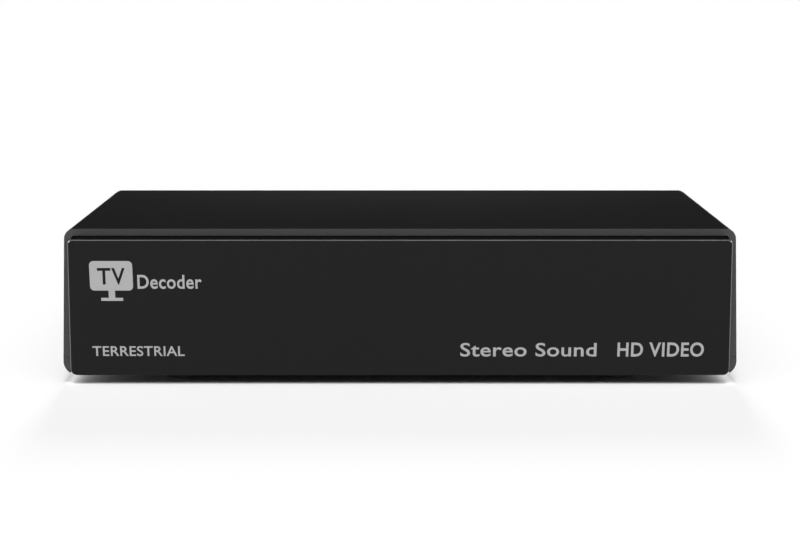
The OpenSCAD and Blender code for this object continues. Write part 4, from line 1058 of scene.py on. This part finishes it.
class DECODER_OT_stage(bpy.types.Operator):
    """Set up the floor, the lamps and the camera"""
    bl_idname = "decoder.stage"
    bl_label = "Stage"

    # A fan of suns from the front to overhead: soft along the view, close at the sides of the object. Three
    # weak ones from behind leave a faint dark image in front of it, as a polished floor does. Each has its
    # height over the front and its spread in degrees, and its strength.
    SUNS = ((40, 14, 0.64), (50, 14, 0.64), (60, 14, 0.64), (70, 14, 0.64), (56, 70, 1.28),
            (146, 8, 0.24), (151, 8, 0.24), (156, 8, 0.24))
    # The object's lamps: place, aim and size in metres, and radiance
    LAMPS = (("front_softbox", (0, -1.15, 0.28), (0, 0, 0.02), (1.8, 0.5), 3.2),
             ("top_strip", (0, -0.36, 0.95), (0, -0.02, 0.03), (2.0, 0.09), 2.4),
             ("ceiling_softbox", (0, 0, 1.8), (0, 0.001, 0), (3.0, 3.0), 0.16),
             ("left_softbox", (-1.2, -0.5, 0.42), (0, 0, 0.02), (0.6, 0.5), 1.4),
             ("right_softbox", (1.2, -0.5, 0.42), (0, 0, 0.02), (0.6, 0.5), 1.4),
             ("back_edge_fill", (0, 0.08, 0.12), (0, 0.04, 0.03), (0.12, 0.02), 10.5),
             ("rear_left_softbox", (-0.95, 0.75, 0.4), (0, 0, 0.02), (0.7, 0.5), 1.5),
             ("rear_right_softbox", (0.95, 0.75, 0.4), (0, 0, 0.02), (0.7, 0.5), 1.5))

    def execute(self, context):
        scene = context.scene
        look = scene.decoder_stage
        scene.view_settings.view_transform = "Standard"
        floor = self.floor(list(look.floor_colour))
        self.hang_lamps(floor)

        world = bpy.data.worlds.new("studio")
        tree = empty_tree(world)
        dim = add_node(tree, "ShaderNodeBackground", {"Color": (1, 1, 1, 1), "Strength": 0.006})
        add_node(tree, "ShaderNodeOutputWorld", {}, {"Surface": dim})
        scene.world = world

        camera = bpy.data.cameras.new("camera")
        camera.lens = look.lens
        camera.sensor_width = 36
        scene.camera = linked("camera", camera)
        scene.camera.location = (0, -look.camera_back, look.camera_height)
        scene.camera.rotation_euler = (math.pi / 2 - look.pitch, 0, 0)
        return {"FINISHED"}

    def floor(self, tone):
        """Lays a wide painted floor close below the feet."""
        half, level = 40, -0.02 * MM
        mesh = bpy.data.meshes.new("floor")
        spots = [(x * half, y * half, level) for x, y in ((-1, -1), (1, -1), (1, 1), (-1, 1))]
        mesh.from_pydata(spots, [], [(0, 1, 2, 3)])
        floor = linked("floor", mesh)
        paint = bpy.data.materials.new("floor_painted")
        tree = empty_tree(paint)
        matt = add_node(tree, "ShaderNodeBsdfDiffuse", {"Color": tone})
        add_node(tree, "ShaderNodeOutputMaterial", {}, {"Surface": matt})
        mesh.materials.append(paint)
        return floor

    def hang_lamps(self, floor):
        """Hangs the lamps. The floor has a soft light of its own, and the object's lamps leave it out."""
        only_floor = self.receivers("floor_only", floor)
        not_floor = self.receivers("all_but_floor", floor)
        not_floor.collection_objects[0].light_linking.link_state = "EXCLUDE"
        for turn, spread, strength in self.SUNS:
            sun = bpy.data.lights.new("floor_light_" + str(turn), "SUN")
            sun.energy = strength
            sun.angle = math.radians(spread)
            away = (0, -math.cos(math.radians(turn)), math.sin(math.radians(turn)))
            self.lamp(sun, away, (0, 0, 0), only_floor)

        # The white floor throws light under both ends of the object, so its shadow thins out there
        low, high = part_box("base_tray")
        level, size = low.z * 0.75, (high.y - low.y, low.z / 2)
        for name, end in (("left_gap_light", low), ("right_gap_light", high)):
            self.softbox(name, (end.x, 0, level), (0, 0, level), size, radiance=5.0, receivers=only_floor)
        for name, place, aim, size, radiance in self.LAMPS:
            lamp = self.softbox(name, place, aim, size, radiance, not_floor)
            lamp.visible_glossy = not name.endswith("fill")

        # Two small lamps beside the object, which only the panel's rounded top corners mirror to the front
        only_panel = self.receivers("panel_only", bpy.data.objects["front_panel_face"])
        for name, side in (("left_glint", -1), ("right_glint", 1)):
            place, corner = (side * 1.2, -0.1, 0.6), (side * 0.08, -0.05, 0.036)
            self.softbox(name, place, corner, size=(0.3, 0.7), radiance=11.0, receivers=only_panel)

    def receivers(self, name, obj):
        """A group of one object that lamps can be linked to."""
        group = bpy.data.collections.new(name)
        group.objects.link(obj)
        return group

    def softbox(self, name, place, aim, size, radiance, receivers):
        """Hangs an even rectangle of light, out of the camera's sight."""
        light = bpy.data.lights.new(name, "AREA")
        light.shape = "RECTANGLE"
        light.size, light.size_y = size
        light.energy = radiance * math.pi * size[0] * size[1]
        lamp = self.lamp(light, place, aim, receivers)
        lamp.visible_camera = False
        return lamp

    def lamp(self, light, place, aim, receivers):
        """Hangs a lamp that points at a spot."""
        obj = linked(light.name, light)
        obj.location = place
        obj.rotation_euler = (Vector(aim) - Vector(place)).to_track_quat("-Z", "Y").to_euler()
        obj.light_linking.receiver_collection = receivers
        return obj


OPERATORS = (DECODER_OT_cover, DECODER_OT_base, DECODER_OT_front_panel, DECODER_OT_rear_panel,
             DECODER_OT_screws, DECODER_OT_boards, DECODER_OT_chips, DECODER_OT_passives, DECODER_OT_tuner,
             DECODER_OT_sockets, DECODER_OT_front_board, DECODER_OT_stage)


class DECODER_PT_build(bpy.types.Panel):
    """Lists the pieces of the decoder"""
    bl_idname = "DECODER_PT_build"
    bl_label = "Television decoder"
    bl_space_type = "VIEW_3D"
    bl_region_type = "UI"
    bl_category = "Decoder"

    def draw(self, context):
        for group in (context.scene.decoder_case, context.scene.decoder_board, context.scene.decoder_stage):
            column = self.layout.column(align=True)
            for name in group.__annotations__:
                column.prop(group, name)
        for operator in OPERATORS:
            self.layout.operator(operator.bl_idname)


CLASSES = (CaseLooks, BoardLooks, StageLooks, *OPERATORS, DECODER_PT_build)


def register():
    for item in CLASSES:
        bpy.utils.register_class(item)
    bpy.types.Scene.decoder_case = PointerProperty(type=CaseLooks)
    bpy.types.Scene.decoder_board = PointerProperty(type=BoardLooks)
    bpy.types.Scene.decoder_stage = PointerProperty(type=StageLooks)


def unregister():
    del bpy.types.Scene.decoder_stage
    del bpy.types.Scene.decoder_board
    del bpy.types.Scene.decoder_case
    for item in reversed(CLASSES):
        bpy.utils.unregister_class(item)


def main():
    register()
    for operator in OPERATORS:
        group, name = operator.bl_idname.split(".")
        getattr(getattr(bpy.ops, group), name)()


if __name__ == "__main__":
    main()
